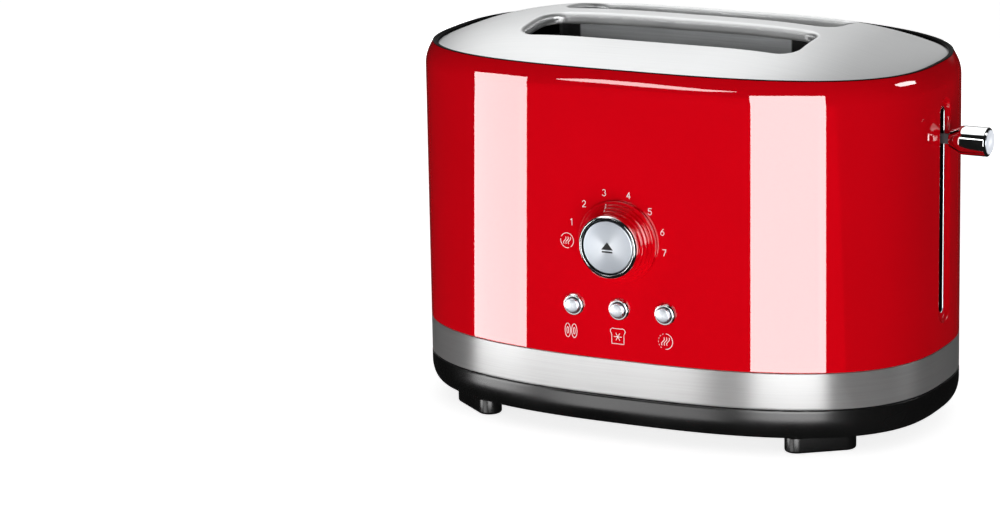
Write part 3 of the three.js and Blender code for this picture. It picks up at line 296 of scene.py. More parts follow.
def outlineAt(angle, inset=0.0):
    # superellipse point at each angle, moved in along the outline's normal
    n, a, b = body["power"], body["halfLength"], body["halfDepth"]
    c, s = np.cos(angle), np.sin(angle)
    x = a * np.sign(c) * np.abs(c) ** (2 / n)
    y = b * np.sign(s) * np.abs(s) ** (2 / n)
    nx = np.sign(x) * np.abs(x / a) ** (n - 1) / a
    ny = np.sign(y) * np.abs(y / b) ** (n - 1) / b
    size = np.hypot(nx, ny)
    return x - inset * nx / size, y - inset * ny / size


def outlineTable():
    # length along the outline, from the lever end round by the back, for a fine run of angles
    angle = np.linspace(0, 2 * math.pi, 60001)
    x, y = outlineAt(angle)
    way = np.concatenate([[0], np.cumsum(np.hypot(np.diff(x), np.diff(y)))])
    return angle, way


tableAngle, tableWay = outlineTable()
outlineLength = tableWay[-1]


def outlineAngles(step, denser=()):
    # angles of places spaced evenly along the outline; denser holds (middle, half width, step)
    places = np.linspace(0, outlineLength, int(outlineLength / step), endpoint=False)
    for middle, half, fine in denser:
        middle = middle * outlineLength
        off = (places - middle + outlineLength / 2) % outlineLength - outlineLength / 2
        places = np.concatenate([places[np.abs(off) > half + 0.4 * fine],
                                 middle + np.linspace(-half, half, int(round(2 * half / fine)) + 1)])
    places = np.sort(places % outlineLength)
    return np.interp(places, tableWay, tableAngle), places


def reachAt(x):
    # distance of the outline from the middle plane, from the superellipse's own equation
    return body["halfDepth"] * (1 - np.abs(x / body["halfLength"]) ** body["power"]) ** (1 / body["power"])


def archedAt(height, x):
    # a height that falls towards both ends with the square of the distance
    return height - body["rimDrop"] * (x / body["halfLength"]) ** 2


def outlineStack(path, angles, arched=False):
    # a path of (inset, height) carried round the outline
    rows = []
    for inset, height in path:
        x, y = outlineAt(angles, inset)
        z = archedAt(height, x) if arched else np.full_like(x, height)
        rows.append(np.stack([x, y, z], -1))
    return np.array(rows)


def outlineUv(points, places):
    # metres along the outline, and height
    return np.stack(np.broadcast_arrays(places * 0.001, points[..., 2] * 0.001), -1).reshape(-1, 2)


def outlinePiece(name, corners, step, arched=False):
    # a closed path of (inset, height, radius) carried round the outline; uv runs along the outline
    angles, places = outlineAngles(step)
    points = outlineStack(roundedPath([*corners, corners[0]])[:-1], angles, arched)
    return meshPiece(name, points, gridQuads(points.shape, closed=True), uv=outlineUv(points, places))


# Shader trees

def shade(tree, kind, inputs=None, **settings):
    # a new node; sockets given as inputs are joined, other values set
    made = tree.nodes.new(kind)
    for key, value in settings.items():
        setattr(made, key, value)
    for key, value in (inputs or {}).items():
        if isinstance(value, bpy.types.NodeSocket):
            tree.links.new(value, made.inputs[key])
        else:
            made.inputs[key].default_value = value
    return made


def calc(tree, operation, *values):
    return shade(tree, "ShaderNodeMath", dict(enumerate(values)), operation=operation).outputs[0]


def product(tree, first, *others):
    for value in others:
        first = calc(tree, "MULTIPLY", first, value)
    return first


def blended(tree, share, a, b):
    return shade(tree, "ShaderNodeMix", {0: share, 6: a, 7: b}, data_type="RGBA").outputs[2]


def ranged(tree, value, low, high, newLow=0.0, newHigh=1.0, soft=False):
    return shade(tree, "ShaderNodeMapRange", {0: value, 1: low, 2: high, 3: newLow, 4: newHigh},
                 interpolation_type="SMOOTHSTEP" if soft else "LINEAR").outputs[0]


def split(tree, vector):
    return shade(tree, "ShaderNodeSeparateXYZ", {0: vector}).outputs


def noise(tree, vector, scale, detail=3.0, rough=0.5):
    return shade(tree, "ShaderNodeTexNoise", {"Vector": vector, "Scale": scale, "Detail": detail,
                                              "Roughness": rough}).outputs[0]


def colour(code):
    # a screen colour such as "c8102e" as linear light
    parts = np.array([int(code[k:k + 2], 16) / 255 for k in (0, 2, 4)])
    light = np.where(parts <= 0.04045, parts / 12.92, ((parts + 0.055) / 1.055) ** 2.4)
    return (*light.tolist(), 1.0)


def toned(tree, share, codes):
    # between two screen colours
    return blended(tree, share, colour(codes[0]), colour(codes[1]))


def newGroup(name, inputs, outputs):
    # a node group with named sockets: inputs are (name, kind, start value)
    group = bpy.data.node_groups.new(name, "ShaderNodeTree")
    for label, kind, start in inputs:
        socket = group.interface.new_socket(label, in_out="INPUT", socket_type=kind)
        if start is not None:
            socket.default_value = start
    for label, kind in outputs:
        group.interface.new_socket(label, in_out="OUTPUT", socket_type=kind)
    return group, group.nodes.new("NodeGroupInput").outputs, group.nodes.new("NodeGroupOutput").inputs


def link(tree, a, b):
    tree.links.new(a, b)


def useGroup(tree, group, inputs):
    return shade(tree, "ShaderNodeGroup", inputs, node_tree=group).outputs


def bumped(tree, height, strength, distance):
    return shade(tree, "ShaderNodeBump", {
        "Height": height, "Strength": strength, "Distance": distance}).outputs[0]


def makeGrain():
    # brushed grain: noise drawn out along the first axis of the vector, as value and height
    group, given, out = newGroup("brushedGrain", [
        ("Vector", "NodeSocketVector", None), ("Length", "NodeSocketFloat", 0.02),
        ("Width", "NodeSocketFloat", 0.0003)], [
        ("Value", "NodeSocketFloat"), ("Height", "NodeSocketFloat")])
    parts = split(group, given["Vector"])
    along, across, over = (calc(group, "DIVIDE", part, given[size])
                           for part, size in zip(parts, ("Length", "Width", "Width")))
    drawn = shade(group, "ShaderNodeCombineXYZ", {0: along, 1: across, 2: over}).outputs[0]
    fine = noise(group, drawn, 1.0, 4.0, 0.6)
    wide = shade(group, "ShaderNodeVectorMath", {0: drawn, 3: 0.23}, operation="SCALE").outputs[0]
    broad = noise(group, wide, 1.0, 2.0, 0.5)
    value = calc(group, "ADD", product(group, fine, 0.65), product(group, broad, 0.35))
    link(group, value, out["Value"])
    link(group, ranged(group, value, 0.3, 0.7), out["Height"])
    return group


def makeSpeckle():
    # dust and small marks: sparse soft spots, as a mask
    group, given, out = newGroup("dustSpeckle", [
        ("Vector", "NodeSocketVector", None), ("Scale", "NodeSocketFloat", 900.0),
        ("Share", "NodeSocketFloat", 0.1)], [("Mask", "NodeSocketFloat")])
    cells = shade(group, "ShaderNodeTexVoronoi", {"Vector": given["Vector"], "Scale": given["Scale"]},
                  feature="F1").outputs
    chosen = calc(group, "LESS_THAN", split(group, cells["Color"])[0], given["Share"])
    spot = ranged(group, cells["Distance"], 0.12, 0.3, 1.0, 0.0, True)
    link(group, product(group, chosen, spot), out["Mask"])
    return group


def makeMould():
    # moulded plastic: a fine spark-eroded grain with a slow swell, as height and value
    group, given, out = newGroup("mouldGrain", [
        ("Vector", "NodeSocketVector", None), ("Scale", "NodeSocketFloat", 1500.0)],
        [("Value", "NodeSocketFloat"), ("Height", "NodeSocketFloat")])
    fine = noise(group, given["Vector"], given["Scale"], 4.0, 0.6)
    slow = noise(group, given["Vector"], 22.0, 2.0, 0.5)
    link(group, slow, out["Value"])
    link(group, calc(group, "ADD", fine, product(group, slow, 0.4)), out["Height"])
    return group


grainGroup, speckleGroup, mouldGroup = makeGrain(), makeSpeckle(), makeMould()


def freshTree(owner):
    # an empty node tree for a material or the world
    owner.use_nodes = True
    owner.node_tree.nodes.clear()
    return owner.node_tree


def newMaterial(name, **shader):
    # a material with one Principled shader and its start values
    material = bpy.data.materials.new(name)
    tree = freshTree(material)
    principled = tree.nodes.new("ShaderNodeBsdfPrincipled")
    for key, value in shader.items():
        principled.inputs[key.replace("_", " ")].default_value = value
    link(tree, principled.outputs[0], tree.nodes.new("ShaderNodeOutputMaterial").inputs[0])
    return material, tree, principled.inputs


def objectPlace(tree):
    return shade(tree, "ShaderNodeTexCoord").outputs["Object"]


def bodyPlace(tree):
    # place from the middle of the body
    back = tuple(float(-part) * 0.001 for part in body["middle"])
    place = shade(tree, "ShaderNodeNewGeometry").outputs["Position"]
    return shade(tree, "ShaderNodeVectorMath", {0: place, 1: back}, operation="ADD").outputs[0]


def uvPlace(tree):
    return shade(tree, "ShaderNodeTexCoord").outputs["UV"]


def dustOn(tree, place, scale, share):
    return useGroup(tree, speckleGroup, {"Vector": place, "Scale": scale, "Share": share})["Mask"]


def redEnamel(paint):
    # gloss enamel: a clear coat over red, with a very slight orange peel; the sheet's inner face is bare and
    # dull, without the coat, and drawn dark grey as painted shade inside the body
    material, tree, into = newMaterial("redEnamel", Coat_Roughness=0.02, Coat_IOR=paint["coat"],
                                       Specular_IOR_Level=0.0, Roughness=0.5)
    place = objectPlace(tree)
    inner = shade(tree, "ShaderNodeNewGeometry").outputs["Backfacing"]
    slow = ranged(tree, noise(tree, place, 9.0, 2.0), 0.3, 0.7, 0.0, 1.0, True)
    paintTone = toned(tree, slow, paint["tones"])
    # painted shade: the inner face is drawn dark grey
    link(tree, blended(tree, inner, paintTone, colour(paint["inner"])), into["Base Color"])
    cover = calc(tree, "MULTIPLY_ADD", dustOn(tree, place, 1500.0, 0.02), -0.3, 1.0)
    link(tree, product(tree, cover, calc(tree, "SUBTRACT", 1.0, inner)), into["Coat Weight"])
    peel = noise(tree, place, paint["peelScale"], 2.0, 0.4)
    link(tree, bumped(tree, peel, paint["peel"], 0.0001), into["Normal"])
    return material


def brushedSteel(name, steel):
    # brushed sheet: roughness, tone and height all follow grain drawn out along the first axis
    material, tree, into = newMaterial(name, Metallic=steel.get("metallic", 1.0),
                                       Anisotropic=steel["anisotropic"], Anisotropic_Rotation=steel["turn"])
    place = objectPlace(tree)
    if steel["onUv"]:   # the grain's direction is the uv's first axis
        link(tree, shade(tree, "ShaderNodeTangent", direction_type="UV_MAP", uv_map="along").outputs[0],
             into["Tangent"])
    grain = useGroup(tree, grainGroup, {"Vector": uvPlace(tree) if steel["onUv"] else place,
                                        "Length": steel["length"], "Width": steel["width"]})
    slow = noise(tree, place, 14.0, 3.0)
    tone = toned(tree, grain["Value"], steel["tones"])
    tone = blended(tree, ranged(tree, slow, 0.35, 0.65, 0.0, 0.25), tone, colour(steel["tones"][1]))
    if "ends" in steel:     # painted shade: both ends of the sheet are drawn black, standing for the dark openings at the slot ends
        away = calc(tree, "ABSOLUTE", split(tree, bodyPlace(tree))[0])
        dark = ranged(tree, away, steel["ends"], steel["ends"] + 0.001)
        tone = blended(tree, dark, tone, (0.004, 0.004, 0.004, 1))
    link(tree, tone, into["Base Color"])
    dust = dustOn(tree, place, 1500.0, 0.02)
    rough = ranged(tree, grain["Value"], 0.3, 0.7, *steel["rough"])
    link(tree, calc(tree, "ADD", rough, product(tree, dust, 0.04)), into["Roughness"])
    link(tree, bumped(tree, grain["Height"], steel["bump"], 0.00004), into["Normal"])
    return material


def turnedMetal(name, metal):
    # a brushed cap: rings about its axis, read from the radius kept on the points
    material, tree, into = newMaterial(name, Metallic=1.0, Anisotropic=metal["anisotropic"])
    radius = shade(tree, "ShaderNodeAttribute", attribute_name="radius").outputs["Fac"]
    scaled = shade(tree, "ShaderNodeCombineXYZ", {0: product(tree, radius, metal["ringScale"])})
    rings = noise(tree, scaled.outputs[0], 1.0, 4.0, 0.6)
    tone = toned(tree, ranged(tree, radius, 0.0, metal["reach"], 0.0, 1.0, True), metal["tones"])
    # painted reflection: two dark fans, the conic reflection of turned metal drawn into the colour with the
    # sine of twice the turn
    turn = split(tree, uvPlace(tree))[0]
    wave = calc(tree, "SINE", calc(tree, "SUBTRACT", product(tree, turn, 4 * math.pi), 1.9))
    fans = ranged(tree, wave, -0.6, 1.0, 0.0, metal["reflectionFan"], True)
    tone = blended(tree, fans, tone, colour(metal["shade"]))
    lines = ranged(tree, rings, 0.3, 0.7, 0.0, 0.35)
    link(tree, blended(tree, lines, tone, colour(metal["line"])), into["Base Color"])
    link(tree, ranged(tree, rings, 0.3, 0.7, *metal["rough"]), into["Roughness"])
    link(tree, bumped(tree, rings, 0.15, 0.00003), into["Normal"])
    return material


def polishedMetal(name, metal):
    # chrome: near mirror, with faint wipe marks and a little dust in its roughness
    material, tree, into = newMaterial(name, Metallic=1.0)
    place = objectPlace(tree)
    wipes = noise(tree, place, metal["scale"], 5.0, 0.65)
    link(tree, toned(tree, wipes, metal["tones"]), into["Base Color"])
    dust = dustOn(tree, place, 1100.0, 0.07)
    rough = ranged(tree, wipes, 0.35, 0.75, *metal["rough"])
    link(tree, calc(tree, "ADD", rough, product(tree, dust, 0.12)), into["Roughness"])
    return material


def mouldedPlastic(name, plastic):
    # moulded plastic or rubber: fine grain, slow change of sheen, dust on it
    material, tree, into = newMaterial(name, Specular_IOR_Level=plastic.get("specular", 0.5))
    place = objectPlace(tree)
    mould = useGroup(tree, mouldGroup, {"Vector": place, "Scale": plastic["grainScale"]})
    dust = dustOn(tree, place, 1600.0, plastic["dust"])
    tone = toned(tree, ranged(tree, mould["Value"], 0.35, 0.65), plastic["tones"])
    link(tree, blended(tree, product(tree, dust, 0.12), tone, colour("8a8a8a")), into["Base Color"])
    link(tree, ranged(tree, mould["Value"], 0.3, 0.7, *plastic["rough"]), into["Roughness"])
    link(tree, bumped(tree, mould["Height"], plastic["bump"], 0.00005), into["Normal"])
    return material


def circuitBoardFinish():
    # solder mask over traces: cell distances folded into bands for the copper, small spots for the pads
    material, tree, into = newMaterial("boardFinish")
    place = objectPlace(tree)
    cells = shade(tree, "ShaderNodeTexVoronoi", {"Vector": place, "Scale": 180.0, "Randomness": 0.35},
                  feature="F1", distance="MANHATTAN").outputs
    bands = calc(tree, "PINGPONG", product(tree, cells["Distance"], 6.0), 1.0)
    trace = ranged(tree, bands, 0.62, 0.7)
    spots = shade(tree, "ShaderNodeTexVoronoi", {"Vector": place, "Scale": 260.0}, feature="F1").outputs
    pad = ranged(tree, spots["Distance"], 0.1, 0.16, 1.0, 0.0)
    tone = toned(tree, trace, ("1f5a2f", "3f8a4d"))
    link(tree, blended(tree, pad, tone, colour("c9c6b8")), into["Base Color"])
    link(tree, pad, into["Metallic"])
    link(tree, ranged(tree, trace, 0, 1, 0.42, 0.3), into["Roughness"])
    link(tree, bumped(tree, trace, 0.4, 0.00005), into["Normal"])
    return material


def copperWinding():
    # enamelled wire laid turn by turn: ridges follow the sine of the height
    material, tree, into = newMaterial("windingFinish", Metallic=1.0)
    place = objectPlace(tree)
    wobble = product(tree, noise(tree, place, 200.0), 0.0002)
    turns = calc(tree, "SINE", product(tree, calc(tree, "ADD", split(tree, place)[2], wobble), 12000.0))
    link(tree, toned(tree, ranged(tree, turns, -1, 1), ("6b2a10", "c46a35")), into["Base Color"])
    link(tree, ranged(tree, turns, -1, 1, 0.5, 0.28), into["Roughness"])
    link(tree, bumped(tree, turns, 0.6, 0.0001), into["Normal"])
    return material


def micaSheet():
    # mica: layered, blotchy and warm, with flecks that catch the light
    material, tree, into = newMaterial("micaSheet")
    place = objectPlace(tree)
    blotch = noise(tree, place, 60.0, 5.0, 0.6)
    fleck = dustOn(tree, place, 420.0, 0.3)
    tone = toned(tree, ranged(tree, blotch, 0.3, 0.7), ("7d6a4c", "b59f79"))
    link(tree, blended(tree, fleck, tone, colour("d8c9a6")), into["Base Color"])
    link(tree, ranged(tree, fleck, 0, 1, 0.6, 0.3), into["Roughness"])
    link(tree, bumped(tree, blotch, 0.3, 0.0001), into["Normal"])
    return material


def printedInk(name, tones):
    # printed marks: nearly flat colour with a slightly broken, matt surface
    material, tree, into = newMaterial(name)
    cover = noise(tree, objectPlace(tree), 2500.0, 3.0)
    link(tree, toned(tree, cover, tones), into["Base Color"])
    link(tree, ranged(tree, cover, 0.3, 0.7, 0.35, 0.55), into["Roughness"])
    return material


# tones are the two ends of a finish's colour and rough those of its roughness
# the enamel's inner colour is painted shade for the inside of the shell
enamel = {"tones": ("d40012", "cd0010"), "inner": "3a3836", "coat": 1.9, "peelScale": 260.0, "peel": 0.01}
plateSteel = {"tones": ("c9cacb", "e6e7e7"), "length": 0.03, "width": 0.0003, "rough": (0.34, 0.44),
              "bump": 0.05, "anisotropic": 0.8, "turn": 0.25, "onUv": True, "metallic": 0.75}
bandSteel = {"tones": ("7e7e7e", "aeaeae"), "length": 0.04, "width": 0.0003, "rough": (0.34, 0.42),
             "bump": 0.04, "anisotropic": 0.95, "turn": 0.25, "onUv": True, "metallic": 0.6}
# the liner's ends: past this distance from the middle it is painted black as shade
linerSteel = {"tones": ("a2a4a6", "eceef0"), "ends": 0.0605, "length": 0.05, "width": 0.0008,
              "rough": (0.4, 0.55), "bump": 0.05, "anisotropic": 0.3, "turn": 0.0, "onUv": False,
              "metallic": 0.4}
sheetSteel = {"tones": ("77787a", "a9abad"), "length": 0.02, "width": 0.0012, "rough": (0.35, 0.55),
              "bump": 0.1, "anisotropic": 0.2, "turn": 0.0, "onUv": False}
chrome = {"tones": ("d8dadb", "eff0f0"), "scale": 60.0, "rough": (0.04, 0.09)}
wireSteel = {"tones": ("8c8d8f", "c4c5c6"), "scale": 300.0, "rough": (0.2, 0.34)}
# the caps' shade colour and reflectionFan share draw a painted reflection: two dark fans
dialCapMetal = {"tones": ("cfd3d8", "a5abb3"), "shade": "7d838c", "line": "dfe2e6", "reflectionFan": 0.7,
                "ringScale": 9.0, "reach": 14.0, "rough": (0.3, 0.42), "anisotropic": 0.4}
buttonCapMetal = {"tones": ("eef1f6", "b4b9c2"), "shade": "9ea4ae", "line": "f4f6fa", "reflectionFan": 0.3,
                  "ringScale": 12.0, "reach": 4.0, "rough": (0.25, 0.38), "anisotropic": 0.3}
trimPlastic = {"tones": ("010101", "030303"), "grainScale": 1800.0, "dust": 0.01, "rough": (0.4, 0.5),
               "bump": 0.02, "specular": 0.02}
basePlastic = {"tones": ("070707", "0c0c0c"), "grainScale": 1500.0, "dust": 0.02, "rough": (0.2, 0.28),
               "bump": 0.03, "specular": 0.6}
footRubber = {"tones": ("080808", "0e0e0e"), "grainScale": 1200.0, "dust": 0.03, "rough": (0.2, 0.3),
              "bump": 0.05, "specular": 0.5}
innerMoulding = {"tones": ("1d1e20", "2b2c2f"), "grainScale": 1400.0, "dust": 0.06, "rough": (0.45, 0.6),
                 "bump": 0.2}

finishes = {
    "red": redEnamel(enamel),
    "plate": brushedSteel("brushedPlate", plateSteel),
    "band": brushedSteel("brushedBand", bandSteel),
    "sheet": brushedSteel("sheetSteel", sheetSteel),
    "liner": brushedSteel("linerSteel", linerSteel),
    "chrome": polishedMetal("polishedChrome", chrome),
    "wire": polishedMetal("wireSteel", wireSteel),
    "dialCap": turnedMetal("dialCapMetal", dialCapMetal),
    "buttonCap": turnedMetal("buttonCapMetal", buttonCapMetal),
    "trim": mouldedPlastic("trimPlastic", trimPlastic),
    "base": mouldedPlastic("basePlastic", basePlastic),
    "rubber": mouldedPlastic("footRubber", footRubber),
    "moulding": mouldedPlastic("innerMoulding", innerMoulding),
    "board": circuitBoardFinish(),
    "copper": copperWinding(),
    "mica": micaSheet(),
    "whiteInk": printedInk("whiteInk", ("f0e4e4", "ffffff")),
    "blackInk": printedInk("blackInk", ("0a0a0a", "050505")),
}
print("stage: finishes made")


def dressed(piece, finish, rides, slot, *replaced):
    # a piece's finish, the body that carries it, its material slot (not used) and the frame nodes it stands
    # for
    piece.data.materials.clear()
    piece.data.materials.append(finishes[finish])
    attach(piece, rides)
    if replaced:
        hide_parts(*replaced)
    return piece


def sharpened(piece, degrees):
    # edges sharper than this keep their corner in the shading
    piece.data.set_sharp_from_angle(angle=math.radians(degrees))
    return piece


# Outer shell: red skin with the pressed lever channel, its slot and the holes in the front

shell = {
    "step": 3.2,            # between columns, and (middle, half width, step) where they are denser
    "denser": ((0.0, 11.0, 0.4), (0.75, 34.0, 0.9)),
    "inset": 4.1,
    "shoulder": 12.0,
    "wall": 1.2,
    "channelHalf": 7.25,
    "channelLow": 58.2,
    "channelHigh": 176.9,
    "channelDepth": 2.0,
    "channelSoft": 1.6,     # width of the pressed step
    "channelMargin": 1.5,
    "slotHalf": 2.5,
    "slotLow": 63.2,
    "slotHigh": 171.9,
    "bend": 3.0,            # how far from the slot its columns bend
    "leverSide": 100.0,     # places further right than this are at the lever end
    "slotEdges": (50, 185),     # heights between which open edges are the slot's, or the front holes'
    "holeEdges": (60, 130),
    "frontSide": -80.0,         # further forward than this, and nearer the middle than the next,
    "holesHalf": 40.0,          # open edges are the front holes'
    "dialHeight": middleOf("browning_knob")[2],
    "dialHole": 9.3,
    "buttonHeight": middleOf("button_defrost")[2],
    "buttonPlaces": [middleOf(f"button_{use}")[0] for use in ("bagel", "defrost", "warm")],
    "buttonHole": 5.3,
}


def stadium(y, z, half, low, high):
    # distance inside a slot with round ends, positive inside
    return half - np.hypot(y, z - np.clip(z, low + half, high - half))


def between(values, low, high):
    return (values > low) & (values < high)


def eased(t):
    # a smooth step: three squares less two cubes
    t = np.clip(t, 0, 1)
    return t * t * (3 - 2 * t)


def wallHeights(low, high):
    # heights of the wall's rows: even, but in each span (from, to, step) closer together, at the
    # ends of the channel and slot and beside the holes
    margin, slotMargin = shell["channelMargin"], 2.4
    dial, keys = shell["dialHeight"], shell["buttonHeight"]
    spans = [(shell["channelLow"] - margin, shell["slotLow"] + slotMargin, 0.4),
             (shell["slotHigh"] - slotMargin, shell["channelHigh"] + margin, 0.4),
             (keys - 8, keys + 8, 0.8), (dial - 11.5, dial + 11.5, 0.9)]
    fine = [np.linspace(a, b, int(round((b - a) / step)) + 1) for a, b, step in spans]
    plain = np.linspace(low, high, 90)
    for a, b, _ in spans:
        plain = plain[(plain < a - 0.4) | (plain > b + 0.4)]
    return np.sort(np.concatenate([plain, *fine]))


def makeShell():
    # rows of the outline up the wall and in over the shoulder, with the channel, slot and holes cut in
    angles, _ = outlineAngles(shell["step"], shell["denser"])
    bottom, drop = body["shellBottom"], body["rimTop"] - shell["shoulder"]
    wallThick, inset, leverSide = shell["wall"], shell["inset"], shell["leverSide"]
    wall = outlineStack([(0.0, z) for z in [bottom + 0.3, *wallHeights(bottom + 0.45, drop)]], angles)
    # above the channel the rows close up under the arched rim
    start = shell["channelHigh"] + shell["channelMargin"]
    squeeze = (archedAt(drop, wall[..., 0]) - start) / (drop - start)
    wall[..., 2] = np.where(wall[..., 2] > start, start + (wall[..., 2] - start) * squeeze, wall[..., 2])
    # the shoulder leans in with the square of its height, so it stays steep up to the trim
    shoulder = outlineStack([(inset * s * s, drop + shell["shoulder"] * s)
                             for s in np.linspace(0, 1, 19)[1:]], angles, True)
    hem = outlineStack([(wallThick, bottom), (0.35, bottom), (0.1, bottom + 0.1)], angles)
    lip = outlineStack([(inset + 0.5, body["rimTop"] - 0.03), (inset + wallThick, body["rimTop"])],
                       angles, True)
    points = np.concatenate([hem, wall, shoulder, lip])

    # the channel is pressed in from the lever end, its walls a smooth step
    x, y, z = points[..., 0], points[..., 1], points[..., 2]
    deep = stadium(y, z, shell["channelHalf"], shell["channelLow"], shell["channelHigh"])
    pressed = shell["channelDepth"] * eased(0.3 + deep / shell["channelSoft"])
    x[...] -= np.where(x > leverSide, pressed, 0)

    # columns beside the slot bend in round its ends, less and less over the width of the bend
    half, low, high = shell["slotHalf"], shell["slotLow"], shell["slotHigh"]
    width = np.sqrt(np.maximum(half ** 2 - (z - np.clip(z, low + half, high - half)) ** 2, 0.02))
    near = (x > leverSide) & between(z, low - 1e-3, high + 1e-3)
    pull = (half - width) * np.clip(1 - (np.abs(y) - half) / shell["bend"], 0, 1)
    y[...] -= np.where(near, np.sign(y) * pull * np.clip(np.abs(y) / half, 0, 1), 0)

    flat, quads = points.reshape(-1, 3), gridQuads(points.shape)
    middle = flat[quads].mean(1)
    gone = (middle[:, 0] > leverSide) & (np.abs(middle[:, 1]) < half * 0.97)
    gone &= stadium(middle[:, 1], middle[:, 2], half, low, high) > 0.02
    holes = [(0.0, shell["dialHeight"], shell["dialHole"])]
    holes += [(place, shell["buttonHeight"], shell["buttonHole"]) for place in shell["buttonPlaces"]]
    for hx, hz, radius in holes:
        # faces inside a hole go, and points left inside it move out to its circle
        off = np.hypot(flat[:, 0] - hx, flat[:, 2] - hz)
        inside = (off < radius) & (flat[:, 1] < 0)
        whole = inside[quads].all(1)
        gone |= whole
        edge = np.unique(quads[~whole & inside[quads].any(1)])
        edge = edge[inside[edge]]
        flat[edge, 0] = hx + (flat[edge, 0] - hx) * radius / off[edge]
        flat[edge, 2] = hz + (flat[edge, 2] - hz) * radius / off[edge]
        flat[edge, 1] = -reachAt(flat[edge, 0])
    quads = quads[~gone]
    skin = len(quads)
    # the cut edges turn in by the wall: the slot's, then the front holes'
    flat, quads = hemmed(flat, quads, lambda m: (m[:, 0] > leverSide) & (np.abs(m[:, 1]) < half + 0.2)
                         & between(m[:, 2], *shell["slotEdges"]), (-wallThick, 0, 0))
    flat, quads = hemmed(flat, quads, lambda m: (m[:, 1] < shell["frontSide"])
                         & (np.abs(m[:, 0]) < shell["holesHalf"])
                         & between(m[:, 2], *shell["holeEdges"]), (0, wallThick, 0))
    piece = sharpened(meshPiece("shell", flat, quads), 50)
    dressed(piece, "red", "body", "gloss_red", "outer_shell")
    piece.data.materials.append(finishes["trim"])   # painted shade: the cut edges take the black trim finish, so the slot and holes read dark
    cut = np.arange(len(piece.data.polygons)) >= skin
    piece.data.polygons.foreach_set("material_index", cut.astype(np.int32))


def makeSlotBead():
    # a fine bright bead round the lever slot, on the floor of the channel
    turn = np.linspace(0, math.pi, 15)
    outward = np.stack([np.cos(turn), np.sin(turn)], -1)
    outward = np.concatenate([outward, -outward])
    ring = outward * (shell["slotHalf"] + slotBead["gap"])
    ring[:, 1] += np.repeat([shell["slotHigh"] - shell["slotHalf"], shell["slotLow"] + shell["slotHalf"]],
                            len(turn))
    angle = np.linspace(0, 2 * math.pi, 10, endpoint=False)
    radius = slotBead["radius"] * np.where(ring[:, :1] > 0, 1, slotBead["thin"])
    side = outward[:, None] * (np.cos(angle) * radius)[..., None] + ring[:, None]
    x = body["halfLength"] - shell["channelDepth"] + radius * np.sin(angle)
    points = np.dstack([x, side])
    piece = meshPiece("slotBead", points, gridQuads(points.shape, closed=True)[:, ::-1])
    return dressed(piece, "chrome", "body", "polished_chrome")


slotBead = {"gap": 0.35, "radius": 0.45, "thin": 0.12}    # thin is its share on the side to the front
makeShell()
makeSlotBead()
print("stage: shell made")

# Trim ring, a black bead between the shell and the plate

trim = {"inset": 4.0, "width": 1.9, "bead": 0.2, "ledge": 3.0, "ledgeDrop": 1.3, "ledgeThick": 1.5,
        "stem": 6.5, "recess": 2.6, "lower": 0.6}


def makeTrim():
    # the ring's section: a stem down behind the shell's rim, a bead at the top and a ledge for the plate
    outer, inner, stem = trim["inset"], trim["inset"] + trim["width"], trim["stem"]
    low, top = body["rimTop"] + 0.02, body["ringTop"] - trim["lower"]
    ledge, reach = body["ringTop"] - trim["recess"] - trim["ledgeDrop"], inner + trim["ledge"]
    under = ledge - trim["ledgeThick"]
    corners = [(stem, low, 0.1), (outer, low, 0.15), (outer, top, trim["bead"]), (inner, top, 0.5),
               (inner, ledge, 0.2), (reach, ledge, 0.3), (reach, under, 0.3), (stem, under, 0.2)]
    piece = outlinePiece("trimRing", corners, 2.2, arched=True)
    return dressed(sharpened(piece, 60), "trim", "body", "black_trim", "trim_ring")


makeTrim()

# Top plate: a brushed dome with two openings, each with a rolled lip and a flange that turns down

plate = {
    "inset": 6.35,
    "edge": body["ringTop"] - trim["recess"],
    "crown": 15.0,
    "crownPower": 2.0,
    "wall": 1.0,
    "slotLength": 156.0,
    "slotWidth": 38.0,
    "slotCentre": 27.0,
    "corner": 10.0,
    "lip": 3.0,
    # margin from the opening and fall from the dome, down the flange and round its hem
    "flangeRows": ((0.0, 4.4), (0.0, 5.6), (0.25, 6.0), (0.75, 6.0), (1.0, 5.6), (1.0, 4.0)),
    "edgeRound": 0.35,
    "grid": 2.6,            # between the dome's points; rows are nearer, about as in even triangles
    "rowShare": 0.87,
    "gridReach": (138, 84),
}


def domeAt(x, y):
    # a crown that falls with a power of the way to the plate's edge: the square across the slots,
    # the fourth power along them
    along = np.abs(x / (body["halfLength"] - plate["inset"])) ** body["power"]
    across = np.abs(y / (body["halfDepth"] - plate["inset"])) ** body["power"]
    total = np.maximum(along + across, 1e-9)
    way = np.minimum(1, total ** (1 / body["power"]))
    power = plate["crownPower"] * (1 + along / total)
    return archedAt(plate["edge"], x) + plate["crown"] * (1 - way ** power)


def slotOutline(side, margin, cornerSteps=14, sideSteps=60, endSteps=4):
    # a rectangle with round corners, grown by a margin, counter-clockwise: arcs joined by straight runs
    radius = plate["corner"] + margin
    reach = np.array([plate["slotLength"], plate["slotWidth"]]) / 2 - plate["corner"]
    runs, corners = [], [(1, 1), (-1, 1), (-1, -1), (1, -1)]
    for k, corner in enumerate(corners):
        angle = np.radians(90 * k + np.linspace(0, 90, cornerSteps, endpoint=False))
        runs.append(corner * reach + radius * np.stack([np.cos(angle), np.sin(angle)], -1))
        last = math.radians(90 * k + 90)
        turned = radius * np.array([math.cos(last), math.sin(last)])
        here, there = corner * reach + turned, corners[(k + 1) % 4] * reach + turned
        share = np.linspace(0, 1, sideSteps if k % 2 == 0 else endSteps, endpoint=False)[:, None]
        runs.append(here + (there - here) * share)
    return np.concatenate(runs) + (0, side * plate["slotCentre"])


def edgeShare(p, inset):
    # the superellipse sum of a point, one on the outline drawn in by this much
    half = np.array([body["halfLength"], body["halfDepth"]]) - plate["inset"] - inset
    return (np.abs(p / half) ** body["power"]).sum(1)


